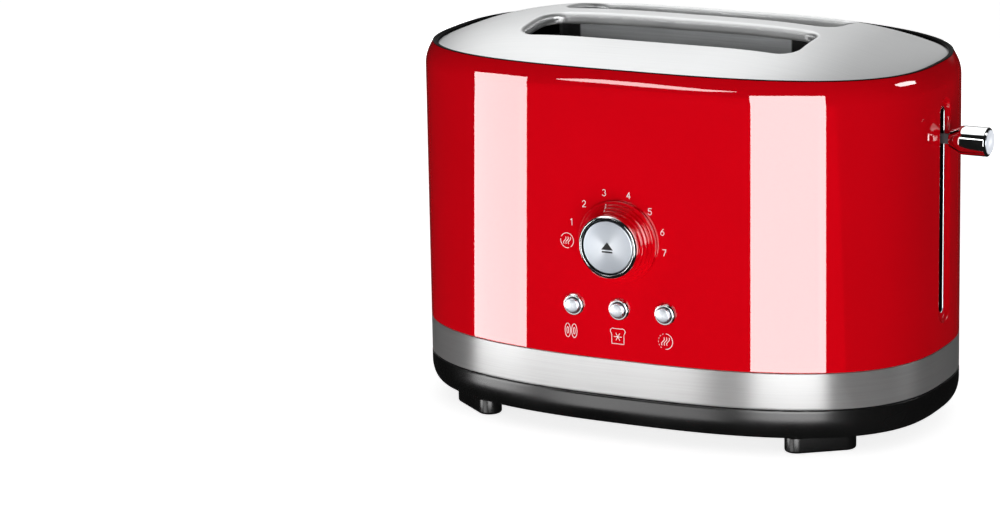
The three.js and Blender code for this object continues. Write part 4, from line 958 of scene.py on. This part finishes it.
def inSlot(p, margin):
    # whether a point is inside either opening grown by a margin: distance from its straight core
    hit = np.zeros(len(p), bool)
    for side in (-1, 1):
        dx = np.abs(p[:, 0]) - (plate["slotLength"] / 2 - plate["corner"])
        dy = np.abs(p[:, 1] - side * plate["slotCentre"]) - (plate["slotWidth"] / 2 - plate["corner"])
        hit |= np.hypot(np.maximum(dx, 0), np.maximum(dy, 0)) < plate["corner"] + margin
    return hit


def makePlate():
    # the dome from a triangle mesh between its edge and the openings, then strips down its borders
    angles, _ = outlineAngles(2.0)
    inset, soft, step, lip = plate["inset"], plate["edgeRound"], plate["grid"], plate["lip"]
    edge = np.stack(outlineAt(angles, inset + soft), -1)
    # a grid of points in the plate, every second row shifted by half a step
    (reachX, reachY), rowShare = plate["gridReach"], plate["rowShare"]
    gx, gy = np.meshgrid(np.arange(-reachX, reachX + 0.1, step),
                         np.arange(-reachY, reachY + 0.1, step * rowShare))
    gx = gx + (np.arange(gy.shape[0]) % 2)[:, None] * step / 2
    spots = np.stack([gx.ravel(), gy.ravel()], -1)
    spots = spots[(edgeShare(spots, 1.8) < 1) & ~inSlot(spots, lip + 1.2)]
    bounds, count, sides = [edge, *(slotOutline(side, lip) for side in (-1, 1))], 0, []
    for ring in bounds:
        k = np.arange(len(ring))
        sides.append(np.stack([k, (k + 1) % len(ring)], -1) + count)
        count += len(ring)
    flat = np.concatenate([*bounds, spots])
    got = delaunay_2d_cdt([Vector(p) for p in flat.tolist()], np.concatenate(sides).tolist(), [], 0, 1e-5)
    flat = np.array([tuple(p) for p in got[0]])
    faces = np.array([f for f in got[2] if len(f) == 3])
    middle = flat[faces].mean(1)
    faces = faces[(edgeShare(middle, soft) < 1.0005) & ~inSlot(middle, lip - 0.01)]

    # outer edge, turned down with a small radius; its first row is the dome's edge
    low, wall = plate["edge"], plate["wall"]
    path = [(inset + soft * (1 - math.sin(t)), low - soft * (1 - math.cos(t)))
            for t in np.linspace(0, math.pi / 2, 5)]
    outer = outlineStack([*path, (inset, low - wall), (inset + 1.5, low - wall)], angles, True)
    outer[0, :, 2] = domeAt(outer[0, :, 0], outer[0, :, 1])
    strips = [outer]
    # lips: a quarter round from the dome into the opening, then the flange and its hem
    rows = [(lip * (1 - math.cos(t)), lip * (1 - math.sin(t))) for t in np.linspace(math.pi / 2, 0, 9)]
    rows += plate["flangeRows"]
    for side in (-1, 1):
        rings = np.array([slotOutline(side, margin) for margin, _ in rows])
        fall = np.array([down for _, down in rows])[:, None]
        strips.append(np.dstack([rings, domeAt(rings[..., 0], rings[..., 1]) - fall]))

    top = np.column_stack([flat, domeAt(flat[:, 0], flat[:, 1])])
    points, quads = gathered([(top, np.zeros((0, 4), int)),
                              *((rows[::-1], gridQuads(rows.shape)) for rows in strips)])
    _, keep, merged = np.unique(np.round(points, 3), axis=0, return_index=True, return_inverse=True)
    merged = merged.ravel()
    piece = meshPiece("topPlate", points[keep], merged[quads], merged[faces],
                      uv=points[keep][:, :2] * 0.001)
    return dressed(sharpened(piece, 55), "plate", "body", "brushed_plate", "top_plate")


makePlate()
print("stage: top made")

# Steel band round the foot of the shell

band = {"low": body["bandBottom"], "high": frameBox("steel_band")[1][2], "wall": 1.4, "edge": 0.45,
        "foot": 1.3}


def makeBand():
    # a strip of sheet, round at its foot, with an edge turned at the top
    corners = [(band["wall"], band["low"], 0), (0.0, band["low"], band["foot"]),
               (0.0, band["high"], band["edge"]), (band["wall"], band["high"], 0)]
    piece = outlinePiece("steelBand", corners, 2.4)
    return dressed(sharpened(piece, 60), "band", "body", "brushed_band", "steel_band")


makeBand()

# Base skirt: a finer outside over the base, open where the tray and the gland are

skirt = {"proud": 0.1, "tuck": 6.0, "tuckHeight": 11.0, "height": 16.0, "rearSide": 60.0,
         "sideRows": (3.8, 2.6, 1.4, 0.4),      # down from the top
         "windows": ((-80.4, 80.4, 2.6, 11.2), (-112.0, -96.0, -1.0, 13.9))}   # x from, to; height from, to


def makeSkirt():
    # the path: in under the base, a quarter round up to the side, the side, and its small top edge
    angles, places = outlineAngles(2.4)
    low, proud = body["baseBottom"], skirt["proud"]
    top = low + skirt["height"]
    path = [(skirt["tuck"] * (1 - math.sin(t)) - proud, low + skirt["tuckHeight"] * (1 - math.cos(t)))
            for t in np.linspace(0, math.pi / 2, 13)]
    path = [(skirt["tuck"] + 2.0, low - 0.02), *path, *((-proud, top - down) for down in skirt["sideRows"]),
            (0.15, top), (1.0, top + 0.05)]
    points = outlineStack(path, angles)
    quads = gridQuads(points.shape)
    x, y, z = points.reshape(-1, 3)[quads].mean(1).T
    gone = np.zeros(len(quads), bool)
    for left, right, below, above in skirt["windows"]:
        gone |= (y > skirt["rearSide"]) & between(x, left, right) & between(z - low, below, above)
    piece = meshPiece("baseSkirt", points, quads[~gone], uv=outlineUv(points, places), welded=True)
    return dressed(sharpened(piece, 60), "base", "body", "base_black")


makeSkirt()

# Rubber feet: round-ended bars with a soft edge and a groove round the sole

foot = {"length": 38.0, "width": 13.0, "top": body["baseBottom"] - body["seam"], "groove": 2.6,
        "reachX": 99.0, "reachY": 58.5, "turn": 38.0}


def makeFoot(name, node, sideX, sideY):
    # rings of a round-ended bar, each drawn in by its row's first value, turned and set in place
    top, draw = foot["top"], foot["groove"]
    path = roundedPath([(draw, 0.9, 0), (draw, 0.0, 0.2), (0.0, 0.0, 1.4), (0.0, top, 0.6), (1.4, top, 0)])
    path = np.concatenate([[(6.2, 0.9)], path, [(6.2, top)]])
    angle = np.linspace(-math.pi / 2, math.pi / 2, 24)
    radius = foot["width"] / 2 - path[:, :1]
    reach = (foot["length"] - foot["width"]) / 2
    half = np.dstack([reach + radius * np.cos(angle), radius * np.sin(angle)])
    ring = np.concatenate([half, -half], 1)
    turn = math.radians(-sideX * sideY * foot["turn"])
    c, s = math.cos(turn), math.sin(turn)
    x = ring[..., 0] * c - ring[..., 1] * s + sideX * foot["reachX"]
    y = ring[..., 0] * s + ring[..., 1] * c + sideY * foot["reachY"]
    points = np.dstack([x, y, np.broadcast_to(path[:, 1:], x.shape)])
    # fans close the sole and the top
    columns, last = points.shape[1], (len(path) - 1) * points.shape[1]
    flat = np.concatenate([points.reshape(-1, 3), [points[0].mean(0), points[-1].mean(0)]])
    k = np.arange(columns)
    after = (k + 1) % columns
    caps = np.concatenate([np.stack([after, k, np.full(columns, len(flat) - 2)], -1),
                           np.stack([last + k, last + after, np.full(columns, len(flat) - 1)], -1)])
    piece = meshPiece(name, flat, gridQuads(points.shape), caps)
    return dressed(sharpened(piece, 50), "rubber", "body", "foot_rubber", node)


for front, sideY in (("front", -1), ("rear", 1)):
    for end, sideX in (("left", -1), ("right", 1)):
        makeFoot(f"foot_{front}_{end}_rubber", f"foot_{front}_{end}", sideX, sideY)
print("stage: base made")

# Lever grip: a turned chrome bar, round towards the body, chamfered outside

gripBox = frameBox("lever_knob") - body["middle"]
grip = {"start": gripBox[0][0], "end": gripBox[1][0], "radius": 7.6, "height": middleOf("lever_knob")[2],
        "chamfer": 1.0, "rim": 1.3}


def makeGrip():
    # a bar that widens from its stem and ends in a chamfer, with a satin disc on its end
    r, start, end, place = grip["radius"], grip["start"], grip["end"], (0.0, 0.0, grip["height"])
    corners = [(0.0, start, 0), (r * 0.55, start, 1.5), (r, start + 7.0, 3.5), (r, end - 1.1, 0.35),
               (r - grip["chamfer"], end - 0.3, 0.2), (0.0, end - 0.3, 0)]
    piece = turnedPiece("leverGrip", corners, place, "x", 72)
    dressed(sharpened(piece, 40), "chrome", "carriage", "polished_chrome", "lever_knob")
    face = r - grip["rim"]
    corners = [(0.0, end - 1.0, 0), (face, end - 1.0, 0), (face, end - 0.02, 0.15), (0.0, end - 0.02, 0)]
    piece = turnedPiece("leverGripFace", corners, place, "x", 64)
    return dressed(sharpened(piece, 40), "buttonCap", "carriage", "brushed_cap")


makeGrip()

# Browning dial: chrome ring with a flared skirt and an index line; eject cap inside it

dial = {"reach": 13.6, "rim": 16.5, "waist": 15.5, "skirt": 21.8, "recess": 14.7, "depth": 6.6, "bore": 3.8,
        "hub": 8.0, "pointer": 106.0, "steps": 5, "skirtFoot": 1.4, "skirtTop": 10.6}
ejectCap = {"radius": 13.8, "face": 13.0, "crown": 0.5, "crownReach": 0.95, "thick": 1.5, "stem": 1.8,
            "stemReach": 13.2}


def skirtAt(share):
    # radius and distance of the skirt's steps: from its foot in to the waist, rising faster near the ring
    return (dial["skirt"] - (dial["skirt"] - dial["waist"]) * share ** 0.8,
            dial["skirtFoot"] + (dial["skirtTop"] - dial["skirtFoot"]) * share ** 1.6)


def makeDial():
    # the ring's section: a hub behind the shell, a waist, and a rim round the recess for the cap
    front, place, bore, hub = body["halfDepth"], (0.0, 0.0, shell["dialHeight"]), dial["bore"], dial["hub"]
    back, floor, top = front - 4.0, front + 0.8, front + dial["reach"]
    waist, rim, recess, bed = dial["waist"] - 0.4, dial["rim"], dial["recess"], top - dial["depth"]
    corners = [(bore, back, 0), (hub, back, 0.3), (hub, floor, 0.2), (waist, floor, 0.2),
               (waist, top - 2.9, 0.2), (rim, top - 2.2, 0.35), (rim, top - 0.75, 0.5), (rim - 0.9, top, 0.4),
               (recess, top, 0.25), (recess, bed, 0.3), (bore, bed, 0), (bore, back, 0)]
    piece = turnedPiece("browningDial", corners, place, "front", 128, 4)
    dressed(sharpened(piece, 40), "chrome", "dial", "polished_chrome", "browning_knob")

    # the stepped skirt: ledges and short walls, each edge rounded
    steps = [skirtAt(k / dial["steps"]) for k in range(dial["steps"] + 1)]
    terraces = []
    for (r, _), (inner, rise) in zip(steps[:-1], steps[1:]):
        terraces += [(r, front + rise, 0.16), (inner, front + rise, 0.12)]
    inside, foot = dial["waist"] - 0.3, front + 0.5
    corners = [(inside, foot, 0), (dial["skirt"], foot, 0.1), *terraces[:-1],
               (inside, front + dial["skirtTop"], 0), (inside, foot, 0)]
    piece = turnedPiece("dialSkirt", corners, place, "front", 128, 4)
    dressed(sharpened(piece, 15), "red", "dial", "gloss_red")

    # a fine white line over the steps shows where the dial points
    angle = math.radians(dial["pointer"])
    radius, reach = skirtAt(np.linspace(0.12, 0.6, 8))
    line = np.stack([radius * math.cos(angle), -(front + reach + 0.9),
                     radius * math.sin(angle) + place[2]], -1)
    piece = meshPiece("dialIndex", *roundWire(line, 0.3, 10), welded=True)
    return dressed(piece, "whiteInk", "dial", "black_trim")


def makeEjectCap():
    # a low crown on a disc, with a thin stem behind; radii and distances from its face inwards
    front, r, stem = body["halfDepth"], ejectCap["radius"], ejectCap["stem"]
    face, stemEnd = front + ejectCap["face"], front - ejectCap["stemReach"]
    back = face - ejectCap["thick"]
    crown = [(r * s * ejectCap["crownReach"], face + ejectCap["crown"] * (1 - s * s), 0)
             for s in np.linspace(0, 1, 12)]
    corners = [*crown, (r, face - 0.05, 0.4), (r, back, 0.2), (stem, back, 0), (stem, stemEnd, 0),
               (0.0, stemEnd, 0)]
    piece = turnedPiece("ejectCap", corners[::-1], (0.0, 0.0, shell["dialHeight"]), "front", 96)
    return dressed(sharpened(piece, 40), "dialCap", "eject", "brushed_cap", "eject_button")


makeDial()
makeEjectCap()

# Push buttons in chrome bezels

button = {"radius": 3.9, "reach": 3.0, "crown": 0.4, "bore": 4.3, "collar": 4.9, "rise": 1.3}


def makeButton(use, place):
    height, r = shell["buttonHeight"], button["radius"]
    back = float(reachAt(abs(place) - r)) + 0.3
    inner, outer, top, sunk = button["bore"], button["collar"], back + button["rise"], back - 3.4
    flare = outer + 0.95
    corners = [(inner, sunk, 0), (inner, top, 0.3), (outer + 0.3, top, 0.4), (flare, top - 0.9, 0.3),
               (flare, back, 0.1), (outer, back, 0), (outer, sunk, 0), (inner, sunk, 0)]
    bezel = turnedPiece(f"bezel_{use}_ring", corners[::-1], (place, 0.0, height), "front", 64, 4)
    dressed(sharpened(bezel, 40), "chrome", "body", "polished_chrome", f"bezel_{use}")
    # the cap: a crowned face, a collar behind the bezel and a plunger towards its switch
    face, stop, collar, stemEnd = back + button["reach"], back - 3.7, back - 4.7, back - 8.3
    crown = [(r * s, face + button["crown"] * (1 - s ** 2), 0) for s in np.linspace(0, 1, 9) * 0.86]
    corners = [*crown, (r, face - 0.1, 0.5), (r, stop, 0), (r + 0.9, stop, 0.1),
               (r + 0.9, collar, 0.1), (2.0, collar, 0), (2.0, stemEnd, 0), (0.0, stemEnd, 0)]
    cap = turnedPiece(f"cap_{use}", corners[::-1], (place, 0.0, height), "front", 64)
    return dressed(sharpened(cap, 40), "buttonCap", use, "brushed_cap", f"button_{use}")


for use, place in zip(("bagel", "defrost", "warm"), shell["buttonPlaces"]):
    makeButton(use, place)
print("stage: controls made")

# Printed marks: strokes laid on the front, and the eject sign on its cap

marks = {
    "digitPlaces": [(-26.7, 8.1), (-19.5, 18.4), (-7.8, 25.3), (6.0, 25.1), (18.0, 17.6), (24.8, 7.4),
                    (25.8, -3.4)],
    "digitHeight": 3.3,
    "stroke": 0.4,
    "signs": {"bagel": (-28.2, -14.2, 8.8), "slice": (-1.0, -14.4, 9.2), "warm": (26.0, -14.4, 9.4)},
    "bake": (-29.7, -2.1, 9.0),     # left of the dial: place from the dial's middle, and size
    "lift": 0.07,
}
ejectSign = {"half": 3.3, "low": -1.2, "high": 2.9, "barLow": -2.75, "barHigh": -1.9}


def arcLine(cx, cy, rx, ry, start, end, steps=24):
    # an arc of an ellipse from one angle to another, in degrees
    t = np.radians(np.linspace(start, end, steps))
    return np.stack([cx + rx * np.cos(t), cy + ry * np.sin(t)], -1)


# digits as strokes in a box 0.6 wide and 1 high
digitStrokes = {
    "1": [[(0.08, 0.8), (0.3, 1.0), (0.3, 0.0)]],
    "2": [np.concatenate([arcLine(0.3, 0.72, 0.27, 0.28, 165, -38), [(0.02, 0.0), (0.6, 0.0)]])],
    "3": [np.concatenate([arcLine(0.28, 0.75, 0.25, 0.25, 150, -80),
                          arcLine(0.28, 0.27, 0.29, 0.27, 80, -155)])],
    "4": [[(0.44, 0.0), (0.44, 1.0), (0.0, 0.27), (0.6, 0.27)]],
    "5": [np.concatenate([[(0.54, 1.0), (0.1, 1.0), (0.05, 0.54)],
                          arcLine(0.28, 0.31, 0.29, 0.31, 120, -155)])],
    "6": [np.concatenate([[(0.45, 0.98), (0.24, 0.76), (0.07, 0.48)],
                          arcLine(0.3, 0.3, 0.28, 0.3, 150, 510, 40)])],
    "7": [[(0.02, 1.0), (0.58, 1.0), (0.22, 0.0)]],
}


def strokeFaces(line, width):
    # a stroke of even width with round ends and joints, as a fan of quads and discs
    line = np.asarray(line, float)
    parts = []
    for a, b in zip(line[:-1], line[1:]):
        run = (b - a) / max(np.linalg.norm(b - a), 1e-9)
        off = np.array([-run[1], run[0]]) * width / 2
        parts.append((np.array([a - off, b - off, b + off, a + off]), np.array([[0, 1, 2, 3]])))
    turn = np.linspace(0, 2 * math.pi, 12, endpoint=False)
    disc = np.stack([np.cos(turn), np.sin(turn)], -1) * width / 2
    faces = np.array([[0, 1, 2, 3], [0, 3, 4, 5], [0, 5, 6, 7], [0, 7, 8, 9], [0, 9, 10, 11]])
    sharp = [0, len(line) - 1] if len(line) > 6 else range(len(line))
    parts += [(line[k] + disc, faces) for k in sharp]
    return parts


def printed(name, strokes, width):
    # flat strokes laid on the curved front
    flat, quads = gathered([part for line in strokes for part in strokeFaces(line, width)])
    points = np.column_stack([flat[:, 0], -reachAt(flat[:, 0]) - marks["lift"], flat[:, 1]])
    return dressed(meshPiece(name, points, quads, smooth=False), "whiteInk", "body", "gloss_red")


def moved(strokes, scale, u, v):
    # strokes scaled about their zero and set at a place
    return [np.asarray(line, float) * scale + (u, v) for line in strokes]


def bagelSign():
    # two halves side by side, each with its hole
    return [arcLine(side * 0.22, 0, rx, ry, 0, 360, 32)
            for side in (-1, 1) for rx, ry in ((0.18, 0.42), (0.06, 0.2))]


def sliceSign():
    # a slice's outline with a six-armed flake in it
    outline = np.concatenate([
        [(-0.38, -0.44), (-0.38, 0.1)], arcLine(-0.29, 0.28, 0.17, 0.17, 230, 70, 14),
        arcLine(0.29, 0.28, 0.17, 0.17, 110, -50, 14), [(0.38, 0.1), (0.38, -0.44), (-0.38, -0.44)]])
    flake = [[(-0.23 * c, -0.23 * s - 0.03), (0.23 * c, 0.23 * s - 0.03)]
             for c, s in ((math.cos(t), math.sin(t)) for t in np.radians((0, 60, 120)))]
    return [outline, *flake]


def heatWaves(reach):
    # three leaning waves: a sine about a slanted line
    t = np.linspace(-1, 1, 16)
    return [np.stack([x + 0.05 * np.sin(t * 3.1) + 0.06 * t, reach * t], -1) for x in (-0.15, 0.0, 0.15)]


def bakeSign():
    # an open ring with waves in it
    return [arcLine(0, 0, 0.42, 0.44, -55, 150, 30), arcLine(0, 0, 0.42, 0.44, 172, 285, 20), *heatWaves(0.2)]


def warmSign():
    # an arc on the right, dashes on the left, waves between
    dashes = [arcLine(0, 0, 0.42, 0.44, start, start + 7, 3) for start in (108, 132, 156, 180, 204, 228)]
    return [arcLine(0, 0, 0.42, 0.44, -88, 86, 30), *dashes, *heatWaves(0.22)]


def makeMarks():
    strokes, size = [], marks["digitHeight"]
    for k, (u, v) in enumerate(marks["digitPlaces"]):
        strokes += moved(digitStrokes[str(k + 1)], size, u - 0.3 * size, v - 0.5 * size + shell["dialHeight"])
    printed("dialNumbers", strokes, marks["stroke"])
    signs = []
    for sign, (u, v, size) in zip((bagelSign(), sliceSign(), warmSign()), marks["signs"].values()):
        signs += moved(sign, size, u, v + shell["buttonHeight"])
    u, v, size = marks["bake"]
    signs += moved(bakeSign(), size, u, v + shell["dialHeight"])
    printed("controlSigns", signs, marks["stroke"] * 0.85)

    # the eject sign: a filled triangle over a bar, on the crowned cap
    half, low, high, barLow, barHigh = ejectSign.values()
    across, share = np.linspace(-half, half, 9), np.linspace(0, 1, 7)[:, None]
    triangle = np.dstack([across * (1 - share * 0.995), np.broadcast_to(low + (high - low) * share, (7, 9))])
    bar = np.dstack(np.meshgrid(np.linspace(-half * 0.92, half * 0.92, 9), np.linspace(barLow, barHigh, 3)))
    flat, quads = gathered([(part, gridQuads(part.shape, False)) for part in (triangle, bar)])
    s = np.hypot(flat[:, 0], flat[:, 1]) / (ejectCap["radius"] * ejectCap["crownReach"])
    reach = body["halfDepth"] + ejectCap["face"] + ejectCap["crown"] * (1 - s * s) + 0.05
    points = np.column_stack([flat[:, 0], -reach, flat[:, 1] + shell["dialHeight"]])
    dressed(meshPiece("ejectSign", points, quads, smooth=False), "blackInk", "eject", "brushed_cap")


makeMarks()
print("stage: printed marks made")

# Wire guards, seen through the openings: round wires on two rails

guardBox = frameBox("guard_front_outer")
guard = {"span": 148.0, "wires": 8, "wire": 1.0, "low": guardBox[0][2] + 1.0, "rail": guardBox[1][2] - 8.0,
         "top": guardBox[1][2], "pivot": 94.0,
         "places": {"front_outer": -43.25, "front_inner": -10.75, "rear_inner": 10.75, "rear_outer": 43.25}}


def makeGuard(place, y):
    # two rails across and the upright wires between them
    half, low = guard["span"] / 2, guard["low"]
    lines = [np.linspace((-reach, y, z), (reach, y, z), 12)
             for reach, z in ((guard["pivot"] - guard["wire"], low), (half + 1.0, guard["rail"]))]
    lines += [np.linspace((x, y, low), (x, y, guard["top"] - 1.0), 8)
              for x in np.linspace(-half, half, guard["wires"])]
    points, quads = gathered([roundWire(line, guard["wire"] * 0.98, 12) for line in lines])
    piece = meshPiece(f"wires_{place}", points, quads, welded=True)
    return dressed(piece, "wire", f"guard_{place}", "steel_wire", f"guard_{place}")


for place, y in guard["places"].items():
    makeGuard(place, y)

# Return spring: one unbroken wire round the rod

springBox = frameBox("return_spring")
spring = {"x": middleOf("return_spring")[0], "y": middleOf("return_spring")[1], "radius": 4.0, "wire": 0.6,
          "low": springBox[0][2], "high": springBox[1][2], "turns": 9}


def makeSpring():
    # a helix about the rod, rising evenly with its turn
    x, y, radius, wire = (spring[key] for key in ("x", "y", "radius", "wire"))
    turn = np.linspace(0, spring["turns"] * 2 * math.pi, spring["turns"] * 28)
    low, high = spring["low"] + wire, spring["high"] - wire
    line = np.stack([x + radius * np.cos(turn), y + radius * np.sin(turn),
                     low + (high - low) * turn / turn[-1]], -1)
    piece = meshPiece("springWire", *roundWire(line, wire, 8), welded=True)
    piece.data.materials.append(finishes["wire"])
    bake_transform(piece)
    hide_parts("return_spring")


makeSpring()
print("stage: wires made")

# Frame nodes that keep their shape and get their finish

kept = {
    "base": ("base_housing", "crumb_tray_pull"),
    "liner": ("chassis_top",),
    "sheet": ("crumb_tray", "chassis_plate_left", "chassis_plate_right", "heat_shield_front",
              "heat_shield_rear", "lifter_front", "lifter_rear", "carriage_bracket", "armature_plate",
              "latch_core"),
    "mica": ("heater_front", "heater_centre", "heater_rear"),
    "wire": ("guide_rod", "dial_shaft"),
    "moulding": ("lever_arm", "cord_gland", "dial_bush", "potentiometer", "switch_bagel", "switch_defrost",
                 "switch_warm", "switch_eject", "control_frame", "power_relay", "filter_capacitor",
                 "terminal_block"),
    "board": ("control_board", "power_board"),
    "copper": ("latch_coil", "transformer"),
}


def dressFrame():
    for finish, names in kept.items():
        for name in names:
            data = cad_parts[name].data
            data.materials.clear()
            data.materials.append(finishes[finish])


dressFrame()
print("stage: frame dressed")

# Light: soft lamps for the colours, and bright panels that only show as reflections

lights = {
    "front": {"azimuth": 9.0, "from": (0, -60), "distance": 950, "low": -850, "high": 130, "width": 1500,
              "radiance": 4.45},
    "side": {"azimuth": 75.0, "from": (140, 0), "distance": 900, "low": -450, "high": 430, "width": 900,
             "radiance": 0.8},
    "rear": {"azimuth": 188.0, "from": (0, 60), "distance": 950, "low": -450, "high": 430, "width": 1500,
             "radiance": 1.7},
    "over": {"azimuth": 0.0, "from": (0, 0), "distance": 0, "low": 1500, "high": 1500, "width": 1400,
             "radiance": 0.2},
    "low": {"azimuth": -24.0, "from": (12, -89), "distance": 1050, "low": -570, "high": -90, "width": 600,
            "radiance": 3.2, "only": ("baseSkirt", "foot_front_left_rubber", "foot_front_right_rubber")},
    "bandGlow": {"azimuth": -28.0, "from": (12, -89), "distance": 1050, "low": -480, "high": 900,
                 "width": 650, "radiance": 4.0, "only": ("steelBand",)},
    "capGlow": {"azimuth": -27.0, "from": (0, -95), "distance": 900, "low": -520, "high": 80, "width": 560,
                "radiance": 0.9, "only": ("ejectCap", "cap_bagel", "cap_defrost", "cap_warm",
                                          "bezel_bagel_ring", "bezel_defrost_ring", "bezel_warm_ring")},
    "plateGlow": {"azimuth": 166.0, "from": (0, 0), "distance": 900, "low": -100, "high": 900,
                  "width": 700, "radiance": 0.5, "only": ("topPlate",)},
    "gripGlow": {"azimuth": 160.0, "from": (168, 0), "distance": 260, "low": -60, "high": 330, "width": 300,
                 "radiance": 1.4, "only": ("leverGripFace",)},
}
# bright panels that only show as reflections: rows of corner points from the body's middle
panels = {
    "left": {"radiance": 6.8, "rows": [
        [(-981, -498, 356), (-857, -690, 451), (-734, -820, 494)],
        [(-970, -518, 145), (-838, -712, 230), (-716, -835, 352)],
        [(-977, -507, 14), (-840, -709, 60), (-708, -842, 163)],
        [(-979, -503, -25), (-845, -704, -20), (-714, -837, -10)],
        [(-982, -495, -35), (-847, -702, -33), (-718, -833, -33)],
        [(-1008, -440, -220), (-871, -671, -224), (-740, -814, -230)],
        [(-1018, -418, -294), (-881, -659, -300), (-749, -806, -309)]]},
    "right": {"radiance": 7.6, "rows": [
        [(94, -1096, 525), (368, -1036, 602), (699, -850, 602)],
        [(104, -1095, 236), (374, -1035, 319), (690, -856, 325)],
        [(102, -1095, 4), (374, -1034, 89), (690, -857, 101)],
        [(101, -1095, -37), (373, -1035, -33), (692, -855, -30)],
        [(94, -1096, -235), (369, -1036, -234), (693, -854, -228)],
        [(91, -1096, -314), (367, -1036, -314), (693, -854, -307)]]},
    "streak": {"radiance": 5.5, "rows": [
        [(-806, -1145, 697), (-743, -1187, 827), (-680, -1223, 935), (-601, -1265, 957), (-426, -1334, 927),
         (-238, -1380, 888), (-29, -1400, 891)],
        [(-798, -1150, 657), (-711, -1206, 661), (-633, -1249, 690), (-551, -1287, 690), (-390, -1345, 711),
         (-218, -1383, 745), (-26, -1400, 858)]]},
    "glint": {"radiance": 8.0, "rows": [
        [(1270, 276, 835), (1223, 442, 817), (1147, 611, 743), (1064, 747, 633)],
        [(1273, 262, 793), (1251, 352, 664), (1191, 522, 602), (1078, 726, 530)]]},
}
surround = {"diffuse": 0.2, "low": 0.58, "high": 2.1, "right": 0.3, "front": 0.01, "floorGlow": 0.86}


def makeLamp(name, lamp):
    # a rectangle of even light, upright towards the object or flat above it; its power follows from
    # its brightness and area
    angle, flat = math.radians(lamp["azimuth"]), not lamp["distance"]
    toward = np.array([math.sin(angle), -math.cos(angle), 0.0])
    spot = np.array([*lamp["from"], (lamp["low"] + lamp["high"]) / 2]) + toward * lamp["distance"]
    height = lamp["width"] if flat else lamp["high"] - lamp["low"]
    facing = Vector((0, 0, -1)) if flat else -Vector(toward.tolist())
    data = bpy.data.lights.new(f"lamp_{name}", "AREA")
    data.shape = "RECTANGLE"
    data.size, data.size_y = lamp["width"] * 0.001, height * 0.001
    data.energy = lamp["radiance"] * math.pi * data.size * data.size_y
    made = bpy.data.objects.new(f"lamp_{name}", data)
    bpy.context.scene.collection.objects.link(made)
    made.location = ((spot + body["middle"]) * 0.001).tolist()
    made.rotation_euler = facing.to_track_quat("-Z", "Y").to_euler()
    made.visible_camera = False
    # a lamp for single pieces shows only in their reflections, the others light only the colours
    made.visible_diffuse, made.visible_glossy = "only" not in lamp, "only" in lamp
    if "only" in lamp:
        lit = bpy.data.collections.new(f"lit_{name}")
        for piece in lamp["only"]:
            lit.objects.link(bpy.data.objects[piece])
        made.light_linking.receiver_collection = lit


def makePanel(name, panel):
    # an even glow on quads between the rows, seen by reflections only
    rows = np.array(panel["rows"], float)
    made = meshPiece(f"panel_{name}", rows, gridQuads(rows.shape, False), smooth=False)
    material = bpy.data.materials.new(f"glow_{name}")
    tree = freshTree(material)
    glow = shade(tree, "ShaderNodeEmission", {"Strength": panel["radiance"]})
    link(tree, glow.outputs[0], tree.nodes.new("ShaderNodeOutputMaterial").inputs[0])
    made.data.materials.append(material)
    for kind in ("camera", "diffuse", "transmission", "volume_scatter", "shadow"):
        setattr(made, f"visible_{kind}", False)


def makeSurround():
    # white to the camera; in mirrors a bright sky above and behind, dimmer to the right, dark elsewhere
    world = bpy.data.worlds.new("surround")
    bpy.context.scene.world = world
    tree = freshTree(world)
    x, y, z = split(tree, shade(tree, "ShaderNodeTexCoord").outputs["Generated"])
    lean = calc(tree, "ADD", y, product(tree, z, 0.9))
    sky = product(tree, ranged(tree, lean, 0.22, 0.4, 0.0, 1.0, True), ranged(tree, z, 0.02, 0.12),
                  ranged(tree, z, 0.35, 0.7, surround["low"], surround["high"]))
    # brighter to the left, gone on the right and at the far left
    sides = product(tree, ranged(tree, x, 0.0, 0.3, 1.0, 0.0, True),
                    ranged(tree, x, -0.8, -0.62, 0.0, 1.0, True),
                    ranged(tree, x, -0.4, -0.1, 1.0, surround["right"], True))
    mirrored = calc(tree, "MAXIMUM", product(tree, sky, sides), surround["front"])
    rays = shade(tree, "ShaderNodeLightPath").outputs
    glossy = calc(tree, "MAXIMUM", rays["Is Glossy Ray"], rays["Is Transmission Ray"])
    strength = surround["diffuse"]
    for ray, level in ((glossy, mirrored), (rays["Is Camera Ray"], 1.0)):
        strength = shade(tree, "ShaderNodeMix", {0: ray, 2: strength, 3: level}, data_type="FLOAT").outputs[0]
    light = shade(tree, "ShaderNodeBackground", {"Color": (1, 1, 1, 1), "Strength": strength})
    link(tree, light.outputs[0], tree.nodes.new("ShaderNodeOutputWorld").inputs[0])


def makeFloor():
    # a wide pale floor: white to the camera, with the object's shadow on it
    size = 30.0
    mesh = bpy.data.meshes.new("floor")
    mesh.from_pydata([(-size, -size, 0), (size, -size, 0), (size, size, 0), (-size, size, 0)], [],
                     [(0, 1, 2, 3)])
    made = bpy.data.objects.new("floor", mesh)
    bpy.context.scene.collection.objects.link(made)
    material, tree, into = newMaterial("paleFloor", Roughness=0.9, Specular_IOR_Level=0.1)
    tone = toned(tree, noise(tree, objectPlace(tree), 3.0), ("f6f6f6", "fbfbfb"))
    link(tree, tone, into["Base Color"])
    link(tree, tone, into["Emission Color"])
    seen = shade(tree, "ShaderNodeLightPath").outputs["Is Camera Ray"]
    link(tree, product(tree, seen, surround["floorGlow"]), into["Emission Strength"])
    mesh.materials.append(material)
    made.visible_glossy = False
    made.visible_shadow = False


for name, lamp in lights.items():
    makeLamp(name, lamp)
for name, panel in panels.items():
    makePanel(name, panel)
makeSurround()
makeFloor()
bpy.context.scene.view_settings.view_transform = "Standard"
print("stage: light and floor made")
